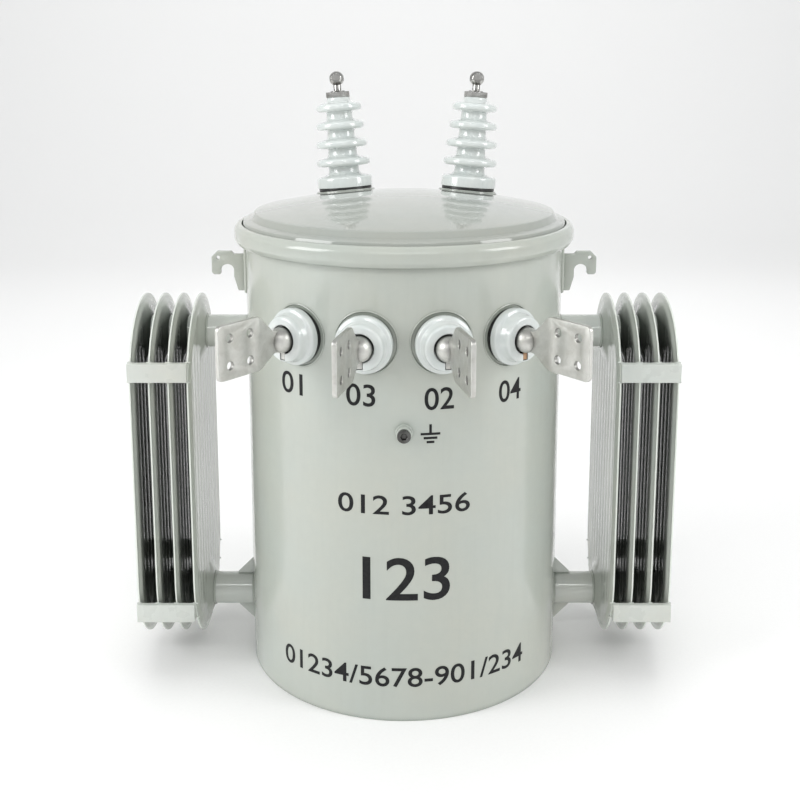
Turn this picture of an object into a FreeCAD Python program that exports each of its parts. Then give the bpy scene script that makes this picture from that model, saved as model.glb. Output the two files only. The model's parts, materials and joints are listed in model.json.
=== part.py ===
"""Overhead distribution transformer: round oil tank, domed cover, bushings and radiators.

Millimetres, +Z up. The front of the tank, with the low-voltage terminals, faces -Y.
The origin is the centre of the tank's base, on the surface that it stands on.
"""
import FreeCAD, Part
import math
import os
import re

import Sketcher

DIMENSIONS = {
    # Tank
    "tank_radius": 290,
    "tank_wall": 3.2,
    "tank_height": 806,
    "rim_radius": 299,
    "base_plate": 5,
    # Cover
    "cover_sheet": 3,
    "dome_radius": 273,
    "dome_edge_z": 853,
    "dome_apex_z": 883,
    "step_radius": 281.5,
    "step_z": 840.5,
    "cover_wall_radius": 296,
    "cover_wall_z": 832,
    "cover_gasket_height": 6,
    "cover_gasket_radius": 289,
    # Clamp band round the cover's rim
    "band_radius": 310,
    "band_sheet": 2.5,
    "band_low_z": 798,
    "band_high_z": 833.5,
    "band_lip_radius": 297.5,
    "band_gap": 14,
    "band_ear": 6,
    "band_ear_reach": 28,
    "band_play": 1,
    "band_bolt_radius": 5,
    "band_bolt_play": 0.5,
    "band_bolt_length": 52,
    "band_bolt_head_radius": 9,
    "band_bolt_head": 5,
    "band_nut": 8,
    # Lifting hooks, left and right
    "hook_low_z": 701,
    "hook_high_z": 775,
    "hook_reach": 66,
    "hook_plate": 10,
    "hook_throat": 24,
    "hook_throat_x": 327,
    "hook_throat_z": 739,
    "hook_root": 13,
    "hook_tip_z": 732,
    "hook_chamfer": 10.5,
    "hook_ledge": 5,
    "hook_ledge_x": 315,
    "hook_eye_radius": 3.6,
    "hook_eye_inset": 12,
    "pad_sheet": 4.5,
    "pad_width": 56,
    "pad_high_z": 794,
    # Pole hangers on the rear wall
    "hanger_spacing": 590.5,
    "hanger_low_z": 109.5,
    "hanger_width": 90,
    "hanger_height": 100,
    "hanger_web": 8,
    "hanger_stand_off": 60,
    "hanger_hole_radius": 11.9,
    # Nameplate
    "nameplate_azimuth": 150,
    "nameplate_width": 120,
    "nameplate_height": 80,
    "nameplate_sheet": 1.2,
    "nameplate_z": 560,
    # Grounding boss and its screw
    "ground_z": 521,
    "ground_boss_radius": 12.9,
    "ground_boss_length": 15,
    "ground_bore_radius": 6.1,
    "ground_shank_radius": 6,
    "ground_shank_length": 13,
    "ground_head_radius": 11.4,
    "ground_head_length": 7,
    "ground_socket_radius": 5.8,
    "ground_socket_depth": 4.5,
    # Pressure relief valve on the rear wall
    "relief_azimuth": 140,
    "relief_z": 745,
    "relief_flange_radius": 14,
    "relief_flange_length": 7,
    "relief_barrel_radius": 11,
    "relief_barrel_length": 30,
    "relief_bore_radius": 7,
    "relief_cap": 4,
    "relief_spigot_radius": 9,
    "relief_spigot_depth": 12.8,
    "relief_seat_hole": 4,
    "relief_stem_radius": 3,
    "relief_disc_radius": 6.6,
    "relief_disc_length": 3,
    "relief_button_radius": 8,
    "relief_button_gap": 1,
    "relief_eye_z": 40,
    "relief_eye_radius": 5.5,
    "relief_eye_hole": 2.6,
    "relief_eye_sheet": 3,
    "relief_travel": 5,
    "relief_spring_radius": 5.3,
    "relief_spring_wire": 0.7,
    "relief_spring_pitch": 3,
    "relief_spring_play": 0.2,
    "pull_ring_radius": 12,
    "pull_ring_wire": 1.3,
    # High-voltage bushings on the cover
    "hv_x": 119.2,
    "hv_pair_offset": 5.3,
    "hv_y": 140,
    "hv_z": 872,
    "hv_lean_out": 4.4,
    "hv_lean_back": 4,
    "hv_collar_radius": 54,
    "hv_collar_bore": 30,
    "hv_collar_depth": 18,
    "hv_gasket": 5.7,
    "hv_gasket_radius": 51,
    "hv_flange_radius": 53.1,
    "hv_flange_height": 20.4,
    "hv_flange_edge": 4,
    "hv_stem_radius": 29,
    "hv_stem_taper": 1.5,
    "hv_shed_radius": 52.2,
    "hv_shed_taper": 2.8,
    "hv_shed_rim": 12.4,
    "hv_shed_lip": 4,
    "hv_shed_cone": 16,
    "hv_first_shed": 47.9,
    "hv_shed_pitch": 35.2,
    "hv_top": 173.2,
    "hv_neck_radius": 21.8,
    "hv_shank_radius": 28,
    "hv_shank": 70,
    "hv_bore": 9,
    "hv_cap_radius": 24,
    "hv_cap_height": 10.5,
    "hv_stud_radius": 7.4,
    "hv_stud_depth": 92,
    "hv_eye_height": 214.9,
    "hv_eye_radius": 14.3,
    "hv_wire_radius": 5.5,
    "hv_nut_radius": 16,
    "hv_nut_height": 12,
    "clamp_bore": 4.5,
    "clamp_shank_radius": 4.4,
    "clamp_tip": 5.6,
    "clamp_head_start": 20.5,
    "clamp_head_sink": 1,
    "clamp_head_radius": 10,
    "clamp_head_length": 7,
    # Low-voltage bushings on the front wall
    "lv_z": 671.7,
    "lv_inner_azimuth": 12.5,
    "lv_outer_azimuth": 37.5,
    "lv_hole_radius": 27,
    "lv_gasket": 5,
    "lv_gasket_radius": 46,
    "lv_flange_radius": 48.5,
    "lv_flange_height": 13,
    "lv_shoulder_radius": 42,
    "lv_shoulder_height": 3,
    "lv_nose_radius": 38,
    "lv_front": 40,
    "lv_socket_radius": 23.8,
    "lv_socket_depth": 10,
    "lv_shank_radius": 25,
    "lv_shank": 28,
    "lv_bore": 10.5,
    "lv_key_slot": 11,
    "lv_key_reach": 35,
    "lv_key": 9,
    "lv_key_play": 1,
    "lv_stud_radius": 10,
    "lv_stud_depth": 60,
    "lv_boss_radius": 21.5,
    "lv_boss_rise": 2,
    "lv_nut_radius": 19,
    "lv_nut_height": 11,
    # Four-hole spade on each low-voltage terminal
    "spade_plate": 8,
    "spade_rise": 4.8,
    "spade_height": 89.5,
    "spade_corner": 8,
    "spade_neck": 36,
    "spade_root": 46,
    "spade_taper_start": 62,
    "spade_full_width": 96,
    "spade_tip": 186.8,
    "spade_centre": 139.2,
    "spade_pitch": 44.45,
    "spade_hole_radius": 7.15,
    # Radiators
    "fin_first_x": 382,
    "fin_pitch": 34,
    "fin_depth": 292.6,
    "fin_low_z": 37.7,
    "fin_high_z": 692.8,
    "fin_seam": 2.4,
    "fin_edge": 9,
    "fin_thickness": 10,
    "fin_neck_radius": 40,
    "fin_neck_thickness": 18,
    "header_low_z": 108.4,
    "header_high_z": 623.5,
    "header_radius": 30.2,
    "header_wall": 3.2,
    "header_end_x": 492,
    "strap_height": 33.5,
    "strap_sheet": 3.5,
    "strap_depth": 24,
    "strap_shift": 2,
    "strap_low_z": 128,
    "strap_high_z": 581.7,
    "strap_length": 105,
    "gusset_leg": 32,
    "gusset_snip": 7,
    "gusset_edge": 3,
    "gusset_plate": 5,
    # Core and coils inside the tank
    "core_width": 300,
    "core_depth": 110,
    "core_height": 340,
    "core_z": 65,
    "core_leg": 80,
    "core_yoke": 40,
    "window_width": 70,
    "coil_height": 250,
    "lv_coil_width": 116,
    "lv_coil_depth": 190,
    "coil_gap": 2,
    "hv_coil_width": 212,
    "hv_coil_depth": 240,
    "clamp_bar_length": 320,
    "clamp_bar_depth": 22,
    "clamp_bar_height": 36,
    "tie_rod_x": 135,
    "tie_rod_radius": 6,
    "tie_rod_length": 356,
    "foot_width": 40,
    "foot_x": 120,
    # Leads from the coils to the bushings
    "lead_lift": 4,
    "hv_lead_radius": 4,
    "hv_lead_x": 89,
    "hv_lead_y": 96,
    "hv_lead_gap": 4,
    "lv_lead_radius": 7,
    "lv_lead_pitch": 23,
    "lv_lead_y": 87,
    "lv_lead_gap": 8,
    "lv_lead_drop": 6,
}

SHED_COUNT = 4
CAP_SIDES = 8
SPRING_STEPS = 16
FIN_COUNT = 4
SIDES = {"left": -1, "right": 1}
LV_AZIMUTHS = {
    "1": "-lv_outer_azimuth",
    "2": "-lv_inner_azimuth",
    "3": "lv_inner_azimuth",
    "4": "lv_outer_azimuth",
}
FULL_TURN = 360

document = FreeCAD.newDocument("transformer")
sheet = document.addObject("Spreadsheet::Sheet", "Dims")
for row, (alias, number) in enumerate(DIMENSIONS.items(), start=1):
    sheet.set(f"A{row}", alias)
    sheet.set(f"B{row}", str(number))
    sheet.setAlias(f"B{row}", alias)
document.recompute()

subparts = []


# Expressions and placements

def bound(expression):
    """The expression, with each dimension's name pointing at its cell in the sheet."""
    def cell(word):
        name = word.group()
        return f"Dims.{name}" if name in DIMENSIONS else name
    return re.sub(r"[a-z][a-z0-9_]*", cell, str(expression))


def value_of(expression):
    """The expression's number at the present dimensions."""
    return float(sheet.evalExpression(bound(expression)))


def place(item, position=("0", "0", "0"), turns=()):
    """Bind a placement; the turns are (axis, degrees), the last of them applied first."""
    spins = [f"rotation(vector({axis}); {bound(angle)})" for axis, angle in turns]
    spin = " * ".join(spins or ["rotation(vector(0; 0; 1); 0)"])
    point = "; ".join(bound(coordinate) for coordinate in position)
    item.setExpression("Placement", f"placement(vector({point}); {spin})")
    return item


def place_radial(item, azimuth, height, radius="tank_radius"):
    """Turn a piece's own +Z outwards from the tank, at an azimuth counted from the front."""
    position = (f"({radius}) * sin({azimuth})", f"-({radius}) * cos({azimuth})", height)
    return place(item, position, (("0; 0; 1", azimuth), ("1; 0; 0", 90)))


def place_on_cover(item, side):
    """Set a piece on a high-voltage collar, whose axis leans outwards and to the rear."""
    turns = (("0; 1; 0", f"{side} * hv_lean_out"), ("1; 0; 0", "-hv_lean_back"))
    return place(item, (f"hv_pair_offset + {side} * hv_x", "hv_y", "hv_z"), turns)


def place_along_x(item, x, y, z):
    """Turn a piece's own +Z to +X."""
    return place(item, (x, y, z), (("0; 1; 0", 90),))


# Sketches and features

def new_body(name="piece"):
    return document.addObject("PartDesign::Body", name)


def own_plane(body, role):
    return [feature for feature in body.Origin.OriginFeatures if feature.Role == role][0]


def new_sketch(body, role):
    sketch = body.newObject("Sketcher::SketchObject", "outline")
    sketch.AttachmentSupport = [(own_plane(body, role), "")]
    sketch.MapMode = "FlatFace"
    return sketch


def pin_point(sketch, geometry, point, u, v):
    """Bind a point of a sketch to two expressions."""
    for kind, expression in (("DistanceX", u), ("DistanceY", v)):
        constraint = Sketcher.Constraint(kind, geometry, point, value_of(expression))
        index = sketch.addConstraint(constraint)
        sketch.setExpression(f"Constraints[{index}]", bound(expression))


def arc_between(start, end, centre):
    """The anticlockwise arc from start to end."""
    first = math.atan2(start.y - centre.y, start.x - centre.x)
    last = math.atan2(end.y - centre.y, end.x - centre.x)
    if last <= first:
        last += 2 * math.pi
    circle = Part.Circle(centre, FreeCAD.Vector(0, 0, 1), start.distanceToPoint(centre))
    return Part.ArcOfCircle(circle, first, last)


def draw_outline(body, role, outline):
    """A closed, fully constrained outline.

    A corner is (u, v). A corner (u, v, centre_u, centre_v, turn) starts an arc that runs to the
    next corner, anticlockwise where turn is 1 and clockwise where it is -1.
    """
    sketch = new_sketch(body, role)
    corners = [FreeCAD.Vector(value_of(entry[0]), value_of(entry[1]), 0) for entry in outline]
    ends = []
    for index, entry in enumerate(outline):
        start = corners[index]
        end = corners[(index + 1) % len(corners)]
        if len(entry) == 2:
            sketch.addGeometry(Part.LineSegment(start, end), False)
            ends.append((1, 2))
            continue
        centre = FreeCAD.Vector(value_of(entry[2]), value_of(entry[3]), 0)
        if entry[4] > 0:
            sketch.addGeometry(arc_between(start, end, centre), False)
            ends.append((1, 2))
        else:
            sketch.addGeometry(arc_between(end, start, centre), False)
            ends.append((2, 1))
    for index, entry in enumerate(outline):
        following = (index + 1) % len(outline)
        joint = Sketcher.Constraint("Coincident", index, ends[index][1], following, ends[following][0])
        sketch.addConstraint(joint)
        pin_point(sketch, index, ends[index][0], entry[0], entry[1])
        if len(entry) > 2:
            chord = corners[following] - corners[index]
            flat = abs(chord.x) > abs(chord.y)
            kind, expression = ("DistanceY", entry[3]) if flat else ("DistanceX", entry[2])
            number = sketch.addConstraint(Sketcher.Constraint(kind, index, 3, value_of(expression)))
            sketch.setExpression(f"Constraints[{number}]", bound(expression))
    return sketch


def draw_circles(body, role, centres, radius):
    sketch = new_sketch(body, role)
    for u, v in centres:
        circle = Part.Circle(
            FreeCAD.Vector(value_of(u), value_of(v), 0), FreeCAD.Vector(0, 0, 1), value_of(radius))
        index = sketch.addGeometry(circle, False)
        pin_point(sketch, index, 3, u, v)
        number = sketch.addConstraint(Sketcher.Constraint("Radius", index, value_of(radius)))
        sketch.setExpression(f"Constraints[{number}]", bound(radius))
    return sketch


def revolve(body, outline):
    """Spin an outline of (radius, height) corners about the body's own Z axis."""
    sketch = draw_outline(body, "XZ_Plane", outline)
    feature = body.newObject("PartDesign::Revolution", "spin")
    feature.Profile = sketch
    feature.ReferenceAxis = (sketch, ["V_Axis"])
    feature.Angle = FULL_TURN
    return body


def pad(body, sketch, thickness):
    """Thicken a sketch equally to both sides of its plane."""
    feature = body.newObject("PartDesign::Pad", "plate")
    feature.Profile = sketch
    feature.SideType = "Symmetric"
    feature.setExpression("Length", bound(thickness))
    return body


def drill(body, sketch):
    """Cut a sketch right through the body, to both sides of its plane."""
    feature = body.newObject("PartDesign::Pocket", "holes")
    feature.Profile = sketch
    feature.Type = "ThroughAll"
    feature.SideType = "Symmetric"
    return body


def spun(outline):
    return revolve(new_body(), outline)


def ring(inner, outer, low, high):
    return spun([(inner, low), (outer, low), (outer, high), (inner, high)])


def plate(role, outline, thickness):
    body = new_body()
    return pad(body, draw_outline(body, role, outline), thickness)


def block(width, depth, height):
    """A block centred on its own origin."""
    y = f"({depth}) / 2"
    z = f"({height}) / 2"
    outline = [(f"-{y}", f"-{z}"), (y, f"-{z}"), (y, z), (f"-{y}", z)]
    return plate("YZ_Plane", outline, width)


def cylinder(radius, height):
    item = document.addObject("Part::Cylinder", "cylinder")
    item.setExpression("Radius", bound(radius))
    item.setExpression("Height", bound(height))
    return item


def prism(corner_radius, height, sides=6):
    item = document.addObject("Part::Prism", "prism")
    item.Polygon = sides
    item.setExpression("Circumradius", bound(corner_radius))
    item.setExpression("Height", bound(height))
    return item


def cut(base, *tools):
    for tool in tools:
        feature = document.addObject("Part::Cut", "cut")
        feature.Base = base
        feature.Tool = tool
        base = feature
    return base


def fused(*items):
    feature = document.addObject("Part::MultiFuse", "fused")
    feature.Shapes = list(items)
    return feature


def common(base, tool):
    feature = document.addObject("Part::Common", "common")
    feature.Base = base
    feature.Tool = tool
    return feature


def group(items):
    """Separate solids that share one node."""
    feature = document.addObject("Part::Compound", "group")
    feature.Links = list(items)
    return feature


def keep(label, item):
    item.Label = label
    subparts.append(item)
    return item


def drum():
    """The space that the tank fills, which trims what is welded to its wall."""
    return cylinder("tank_radius", "dome_apex_z")


def rod_between(start, end, radius):
    """A straight round rod, from points and a radius read off the sheet."""
    first = FreeCAD.Vector(*[value_of(coordinate) for coordinate in start])
    run = FreeCAD.Vector(*[value_of(coordinate) for coordinate in end]) - first
    item = document.addObject("Part::Feature", "rod")
    item.Shape = Part.makeCylinder(value_of(radius), run.Length, first, run)
    return item


def wire_coil(height):
    """The relief valve's spring: round wire bent in short straight steps, read off the sheet."""
    radius = value_of("relief_spring_radius")
    pitch = value_of("relief_spring_pitch")
    points = []
    for step in range(int(value_of(height) / pitch * SPRING_STEPS) + 1):
        turn = step / SPRING_STEPS
        angle = 2 * math.pi * turn
        points.append(FreeCAD.Vector(radius * math.cos(angle), radius * math.sin(angle), pitch * turn))
    wire = Part.Circle(points[0], points[1] - points[0], value_of("relief_spring_wire"))
    item = document.addObject("Part::Feature", "coil")
    right_corners = 1
    path = Part.makePolygon(points)
    item.Shape = path.makePipeShell([Part.Wire(wire.toShape())], True, False, right_corners)
    return item


# Tank, cover and clamp band

RIM_LOW = "tank_height + cover_gasket_height"


def make_tank():
    shell = spun([
        ("tank_radius - tank_wall", "0"),
        ("tank_radius", "0"),
        ("tank_radius", "tank_height - tank_wall"),
        ("rim_radius", "tank_height - tank_wall"),
        ("rim_radius", "tank_height"),
        ("tank_radius - tank_wall", "tank_height"),
    ])
    depth = "tank_radius / 5"
    holes = [
        place_radial(cylinder("lv_hole_radius", depth), azimuth, "lv_z", f"tank_radius - {depth} / 2")
        for azimuth in LV_AZIMUTHS.values()
    ]
    relief_hole = cylinder("relief_spigot_radius", depth)
    holes.append(place_radial(relief_hole, "relief_azimuth", "relief_z", f"tank_radius - {depth} / 2"))
    for height in ("header_low_z", "header_high_z"):
        passage = cylinder("header_radius - header_wall", "2 * rim_radius")
        holes.append(place_along_x(passage, "-rim_radius", "0", height))
    keep("tank_shell", cut(shell, *holes))
    keep("tank_base", cylinder("tank_radius - tank_wall", "base_plate"))


def make_cover():
    rise = "(dome_apex_z - dome_edge_z)"
    sphere = f"((dome_radius^2 + {rise}^2) / (2 * {rise}))"
    centre = f"dome_apex_z - {sphere}"
    inner_edge = "(dome_radius - cover_sheet)"
    inner_edge_z = f"{centre} + sqrt(({sphere} - cover_sheet)^2 - {inner_edge}^2)"
    dome = spun([
        ("0", "dome_apex_z", "0", centre, -1),
        ("dome_radius", "dome_edge_z"),
        ("step_radius", "step_z"),
        ("cover_wall_radius", "cover_wall_z"),
        ("cover_wall_radius", f"{RIM_LOW} + cover_sheet"),
        ("rim_radius", f"{RIM_LOW} + cover_sheet"),
        ("rim_radius", RIM_LOW),
        ("cover_wall_radius - cover_sheet", RIM_LOW),
        ("cover_wall_radius - cover_sheet", "cover_wall_z - cover_sheet"),
        ("step_radius - cover_sheet", "step_z - cover_sheet"),
        (inner_edge, inner_edge_z, "0", centre, 1),
        ("0", "dome_apex_z - cover_sheet"),
    ])
    seats = []
    for side in SIDES.values():
        tool = cylinder("hv_collar_radius", "4 * hv_collar_depth")
        tool.setExpression("Placement.Base.z", bound("-2 * hv_collar_depth"))
        seats.append(place_on_cover(group([tool]), side))
    keep("cover", cut(dome, *seats))
    keep("cover_gasket", ring("cover_gasket_radius", "rim_radius", "tank_height", RIM_LOW))


def make_band():
    middle = "(band_low_z + band_high_z) / 2"
    bend = "(band_high_z - band_low_z) / 3"
    inner = "(band_radius - band_sheet)"
    lip = "band_lip_radius"
    shoulder = f"({lip} + {bend} / 2)"
    hoop = spun([
        ("tank_radius + band_play", "band_low_z"),
        (shoulder.replace(lip, "rim_radius"), "band_low_z + band_sheet / 2"),
        ("band_radius", f"{middle} - {bend} / 2"),
        ("band_radius", f"{middle} + {bend} / 2"),
        (shoulder, "band_high_z - band_sheet / 2"),
        (lip, "band_high_z"),
        (lip, "band_high_z - band_sheet"),
        (f"{shoulder} - band_sheet / 2", "band_high_z - 3 * band_sheet / 2"),
        (inner, f"{middle} + {bend} / 2"),
        (inner, f"{middle} - {bend} / 2"),
        (f"{shoulder.replace(lip, 'rim_radius')} - band_sheet", "band_low_z + 3 * band_sheet / 2"),
        ("tank_radius + band_play", "band_low_z + band_sheet"),
    ])
    ears = block("band_gap + 2 * band_ear", "band_ear_reach", "band_high_z - band_low_z - 4 * band_sheet")
    place(ears, ("0", f"{inner} + band_ear_reach / 2", middle))
    gap = block("band_gap", "4 * band_ear_reach", "2 * (band_high_z - band_low_z)")
    place(gap, ("0", "band_radius", middle))
    bolt_y = "band_radius + band_ear_reach / 2"
    bolt_hole = cylinder("band_bolt_radius + band_bolt_play", "band_bolt_length")
    place_along_x(bolt_hole, "-band_bolt_length / 2", bolt_y, middle)
    keep("cover_band", cut(fused(hoop, ears), gap, bolt_hole))

    outside = "(band_gap / 2 + band_ear)"
    head = prism("band_bolt_head_radius", "band_bolt_head")
    place_along_x(head, f"-{outside} - band_bolt_head", bolt_y, middle)
    shank = cylinder("band_bolt_radius", "band_bolt_length")
    place_along_x(shank, f"-{outside}", bolt_y, middle)
    nut = place_along_x(prism("band_bolt_head_radius", "band_nut"), outside, bolt_y, middle)
    nut_hole = cylinder("band_bolt_radius", "band_bolt_length")
    place_along_x(nut_hole, "0", bolt_y, middle)
    keep("cover_band_bolt", group([fused(head, shank), cut(nut, nut_hole)]))


# Lifting hooks, pole hangers and nameplate

def make_lifting_hooks():
    root = "(tank_radius + pad_sheet)"
    tip = "(tank_radius + hook_reach)"
    half = "(hook_throat / 2)"
    outline = [
        (root, "hook_low_z"),
        (f"{root} + hook_root", "hook_low_z"),
        (f"hook_throat_x - {half}", "hook_throat_z - hook_throat / 2"),
        (f"hook_throat_x - {half}", "hook_throat_z", "hook_throat_x", "hook_throat_z", -1),
        (f"hook_throat_x + {half}", "hook_throat_z"),
        (f"hook_throat_x + {half}", "hook_tip_z"),
        (tip, "hook_tip_z"),
        (tip, "hook_high_z - hook_chamfer"),
        (f"{tip} - hook_chamfer", "hook_high_z"),
        ("hook_ledge_x + hook_ledge", "hook_high_z"),
        ("hook_ledge_x", "hook_high_z - hook_ledge"),
        (root, "hook_high_z - hook_ledge"),
    ]
    for name, side in SIDES.items():
        hook = plate("XZ_Plane", outline, "hook_plate")
        eye = [(f"{tip} - hook_eye_inset", "hook_high_z - hook_eye_inset")]
        drill(hook, draw_circles(hook, "XZ_Plane", eye, "hook_eye_radius"))
        keep(f"lifting_hook_{name}", place(hook, turns=(("0; 0; 1", f"90 - 90 * {side}"),)))
    hoop = ring("tank_radius", root, "hook_low_z", "pad_high_z")
    slab = place(block("4 * tank_radius", "pad_width", "dome_apex_z"), ("0", "0", "dome_apex_z / 2"))
    keep("lifting_pads", common(hoop, slab))


def make_hangers():
    outside = "(tank_radius + hanger_stand_off)"
    heights = {"lower": "hanger_low_z", "upper": "hanger_low_z + hanger_spacing"}
    for name, height in heights.items():
        bracket = block("hanger_width", "2 * hanger_stand_off", "hanger_height")
        place(bracket, ("0", f"{outside} - hanger_stand_off", height))
        hollow = block("hanger_width - 2 * hanger_web", "4 * hanger_stand_off", "2 * hanger_height")
        place(hollow, ("0", f"{outside} - hanger_web - 2 * hanger_stand_off", height))
        bolt_hole = cylinder("hanger_hole_radius", "4 * hanger_web")
        place(bolt_hole, ("0", f"{outside} + hanger_web", height), (("1; 0; 0", 90),))
        keep(f"hanger_{name}", cut(bracket, hollow, drum(), bolt_hole))


def make_nameplate():
    skin = ring("tank_radius", "tank_radius + nameplate_sheet",
                "nameplate_z - nameplate_height / 2", "nameplate_z + nameplate_height / 2")
    window = block("nameplate_width", "tank_radius", "2 * nameplate_height")
    place(window, ("tank_radius * sin(nameplate_azimuth)", "-tank_radius * cos(nameplate_azimuth)",
                   "nameplate_z"), (("0; 0; 1", "nameplate_azimuth"),))
    keep("nameplate", common(skin, window))


# Grounding boss and pressure relief valve

def make_ground():
    boss = ring("ground_bore_radius", "ground_boss_radius", "-ground_boss_length / 2", "ground_boss_length")
    keep("ground_boss", cut(place_radial(boss, "0", "ground_z"), drum()))
    head_end = "ground_boss_length + ground_head_length"
    screw = spun([
        ("0", "ground_boss_length - ground_shank_length"),
        ("ground_shank_radius", "ground_boss_length - ground_shank_length"),
        ("ground_shank_radius", "ground_boss_length"),
        ("ground_head_radius", "ground_boss_length"),
        ("ground_head_radius", head_end),
        ("0", head_end),
    ])
    socket = place(prism("ground_socket_radius", "ground_head_length"),
                   ("0", "0", f"{head_end} - ground_socket_depth"))
    keep("ground_screw", place_radial(cut(screw, socket), "0", "ground_z"))


def make_relief_valve():
    spot = ("relief_azimuth", "relief_z")
    seat = "relief_disc_length"
    cap_z = "relief_barrel_length - relief_cap"
    body = spun([
        ("relief_seat_hole", "-relief_spigot_depth"),
        ("relief_spigot_radius", "-relief_spigot_depth"),
        ("relief_spigot_radius", "0"),
        ("relief_flange_radius", "0"),
        ("relief_flange_radius", "relief_flange_length"),
        ("relief_barrel_radius", "relief_flange_length"),
        ("relief_barrel_radius", "relief_barrel_length"),
        ("relief_seat_hole", "relief_barrel_length"),
        ("relief_seat_hole", cap_z),
        ("relief_bore_radius", cap_z),
        ("relief_bore_radius", seat),
        ("relief_seat_hole", seat),
    ])
    keep("relief_valve_body", place_radial(body, *spot))

    button = "relief_barrel_length + relief_button_gap"
    stem = spun([
        ("0", seat),
        ("relief_disc_radius", seat),
        ("relief_disc_radius", f"2 * {seat}"),
        ("relief_stem_radius", f"2 * {seat}"),
        ("relief_stem_radius", button),
        ("relief_button_radius", button),
        ("relief_button_radius", f"{button} + relief_eye_sheet"),
        ("0", f"{button} + relief_eye_sheet"),
    ])
    eye_low = f"{button} + relief_eye_sheet / 2"
    eye = draw_outline(stem, "YZ_Plane", [
        ("-relief_eye_radius", eye_low),
        ("relief_eye_radius", eye_low),
        ("relief_eye_radius", "relief_eye_z", "0", "relief_eye_z", 1),
        ("-relief_eye_radius", "relief_eye_z"),
    ])
    pad(stem, eye, "relief_eye_sheet")
    drill(stem, draw_circles(stem, "YZ_Plane", [("0", "relief_eye_z")], "relief_eye_hole"))
    keep("relief_valve_stem", place_radial(stem, *spot))

    margin = "(relief_spring_wire + relief_spring_play)"
    low_end = f"(2 * {seat} + relief_travel + {margin})"
    spring = wire_coil(f"{cap_z} - {margin} - {low_end}")
    lifted = place(group([spring]), ("0", "0", low_end))
    keep("relief_valve_spring", place_radial(group([lifted]), *spot))

    hoop = document.addObject("Part::Torus", "hoop")
    hoop.setExpression("Radius1", bound("pull_ring_radius"))
    hoop.setExpression("Radius2", bound("pull_ring_wire"))
    place(hoop, ("0", "-pull_ring_radius", "relief_eye_z"))
    keep("relief_pull_ring", place_radial(group([hoop]), *spot))


# High-voltage bushings

def hv_porcelain_outline():
    """Half section of a bushing: shank, base flange, and sheds that get smaller upwards."""
    seat = "hv_gasket"
    outline = [
        ("hv_bore", "-hv_shank"),
        ("hv_shank_radius", "-hv_shank"),
        ("hv_shank_radius", seat),
        ("hv_flange_radius", seat),
        ("hv_flange_radius", f"{seat} + hv_flange_height - hv_flange_edge"),
        ("hv_flange_radius - hv_flange_edge", f"{seat} + hv_flange_height"),
    ]
    for shed in range(SHED_COUNT):
        middle = f"{seat} + hv_first_shed + {shed} * hv_shed_pitch"
        radius = f"hv_shed_radius - {shed} * hv_shed_taper"
        outline += [
            (f"hv_stem_radius - {shed} * hv_stem_taper", f"{middle} - hv_shed_rim"),
            (f"{radius} - hv_shed_lip", f"{middle} - hv_shed_rim / 2"),
            (radius, f"{middle} - hv_shed_rim / 4"),
            (radius, f"{middle} + hv_shed_rim / 4"),
            (f"{radius} - hv_shed_lip", f"{middle} + hv_shed_rim / 2"),
            (f"hv_stem_radius - {shed + 1} * hv_stem_taper", f"{middle} + hv_shed_cone"),
        ]
    outline += [
        ("hv_neck_radius", f"{seat} + hv_top"),
        ("hv_bore", f"{seat} + hv_top"),
    ]
    return outline


def make_hv_bushing(name, side):
    """One bushing's own nodes; returns its collar, gasket, cap and lower nut."""
    keep(f"hv_porcelain_{name}", place_on_cover(spun(hv_porcelain_outline()), side))

    waist = "sqrt(hv_eye_radius^2 - hv_stud_radius^2)"
    stud = spun([
        ("0", "-hv_stud_depth"),
        ("hv_stud_radius", "-hv_stud_depth"),
        ("hv_stud_radius", f"hv_eye_height - {waist}", "0", "hv_eye_height", 1),
        ("0", "hv_eye_height + hv_eye_radius"),
    ])
    wire_hole = cylinder("hv_wire_radius", "4 * hv_eye_radius")
    place_along_x(wire_hole, "-2 * hv_eye_radius", "0", "hv_eye_height")
    screw_hole = cylinder("clamp_bore", "2 * hv_eye_radius")
    place(screw_hole, ("0", "0", "hv_eye_height"), (("1; 0; 0", 90),))
    keep(f"hv_terminal_{name}", place_on_cover(cut(stud, wire_hole, screw_hole), side))

    shank = cylinder("clamp_shank_radius", "clamp_head_start - clamp_tip + clamp_head_sink")
    place(shank, ("0", "-clamp_tip", "hv_eye_height"), (("1; 0; 0", 90),))
    head = prism("clamp_head_radius", "clamp_head_length")
    place(head, ("0", "-clamp_head_start", "hv_eye_height"), (("1; 0; 0", 90),))
    keep(f"hv_clamp_screw_{name}", place_on_cover(fused(shank, head), side))

    collar = ring("hv_collar_bore", "hv_collar_radius", "-hv_collar_depth", "0")
    gasket = ring("hv_collar_bore", "hv_gasket_radius", "0", "hv_gasket")
    stud_hole = cylinder("hv_stud_radius", "hv_eye_height")
    cap = place(prism("hv_cap_radius", "hv_cap_height", CAP_SIDES), ("0", "0", "hv_gasket + hv_top"))
    lower_hole = place(cylinder("hv_stud_radius", "hv_stud_depth"), ("0", "0", "-hv_stud_depth"))
    nut = place(prism("hv_nut_radius", "hv_nut_height"), ("0", "0", "-hv_shank - hv_nut_height"))
    pieces = (collar, gasket, cut(cap, stud_hole), cut(nut, lower_hole))
    return [place_on_cover(piece, side) for piece in pieces]


def make_hv_bushings():
    sets = [make_hv_bushing(name, side) for name, side in SIDES.items()]
    labels = ("hv_collars", "hv_gaskets", "hv_caps", "hv_lower_nuts")
    for label, pieces in zip(labels, zip(*sets)):
        keep(label, group(pieces))


# Low-voltage bushings

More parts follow.
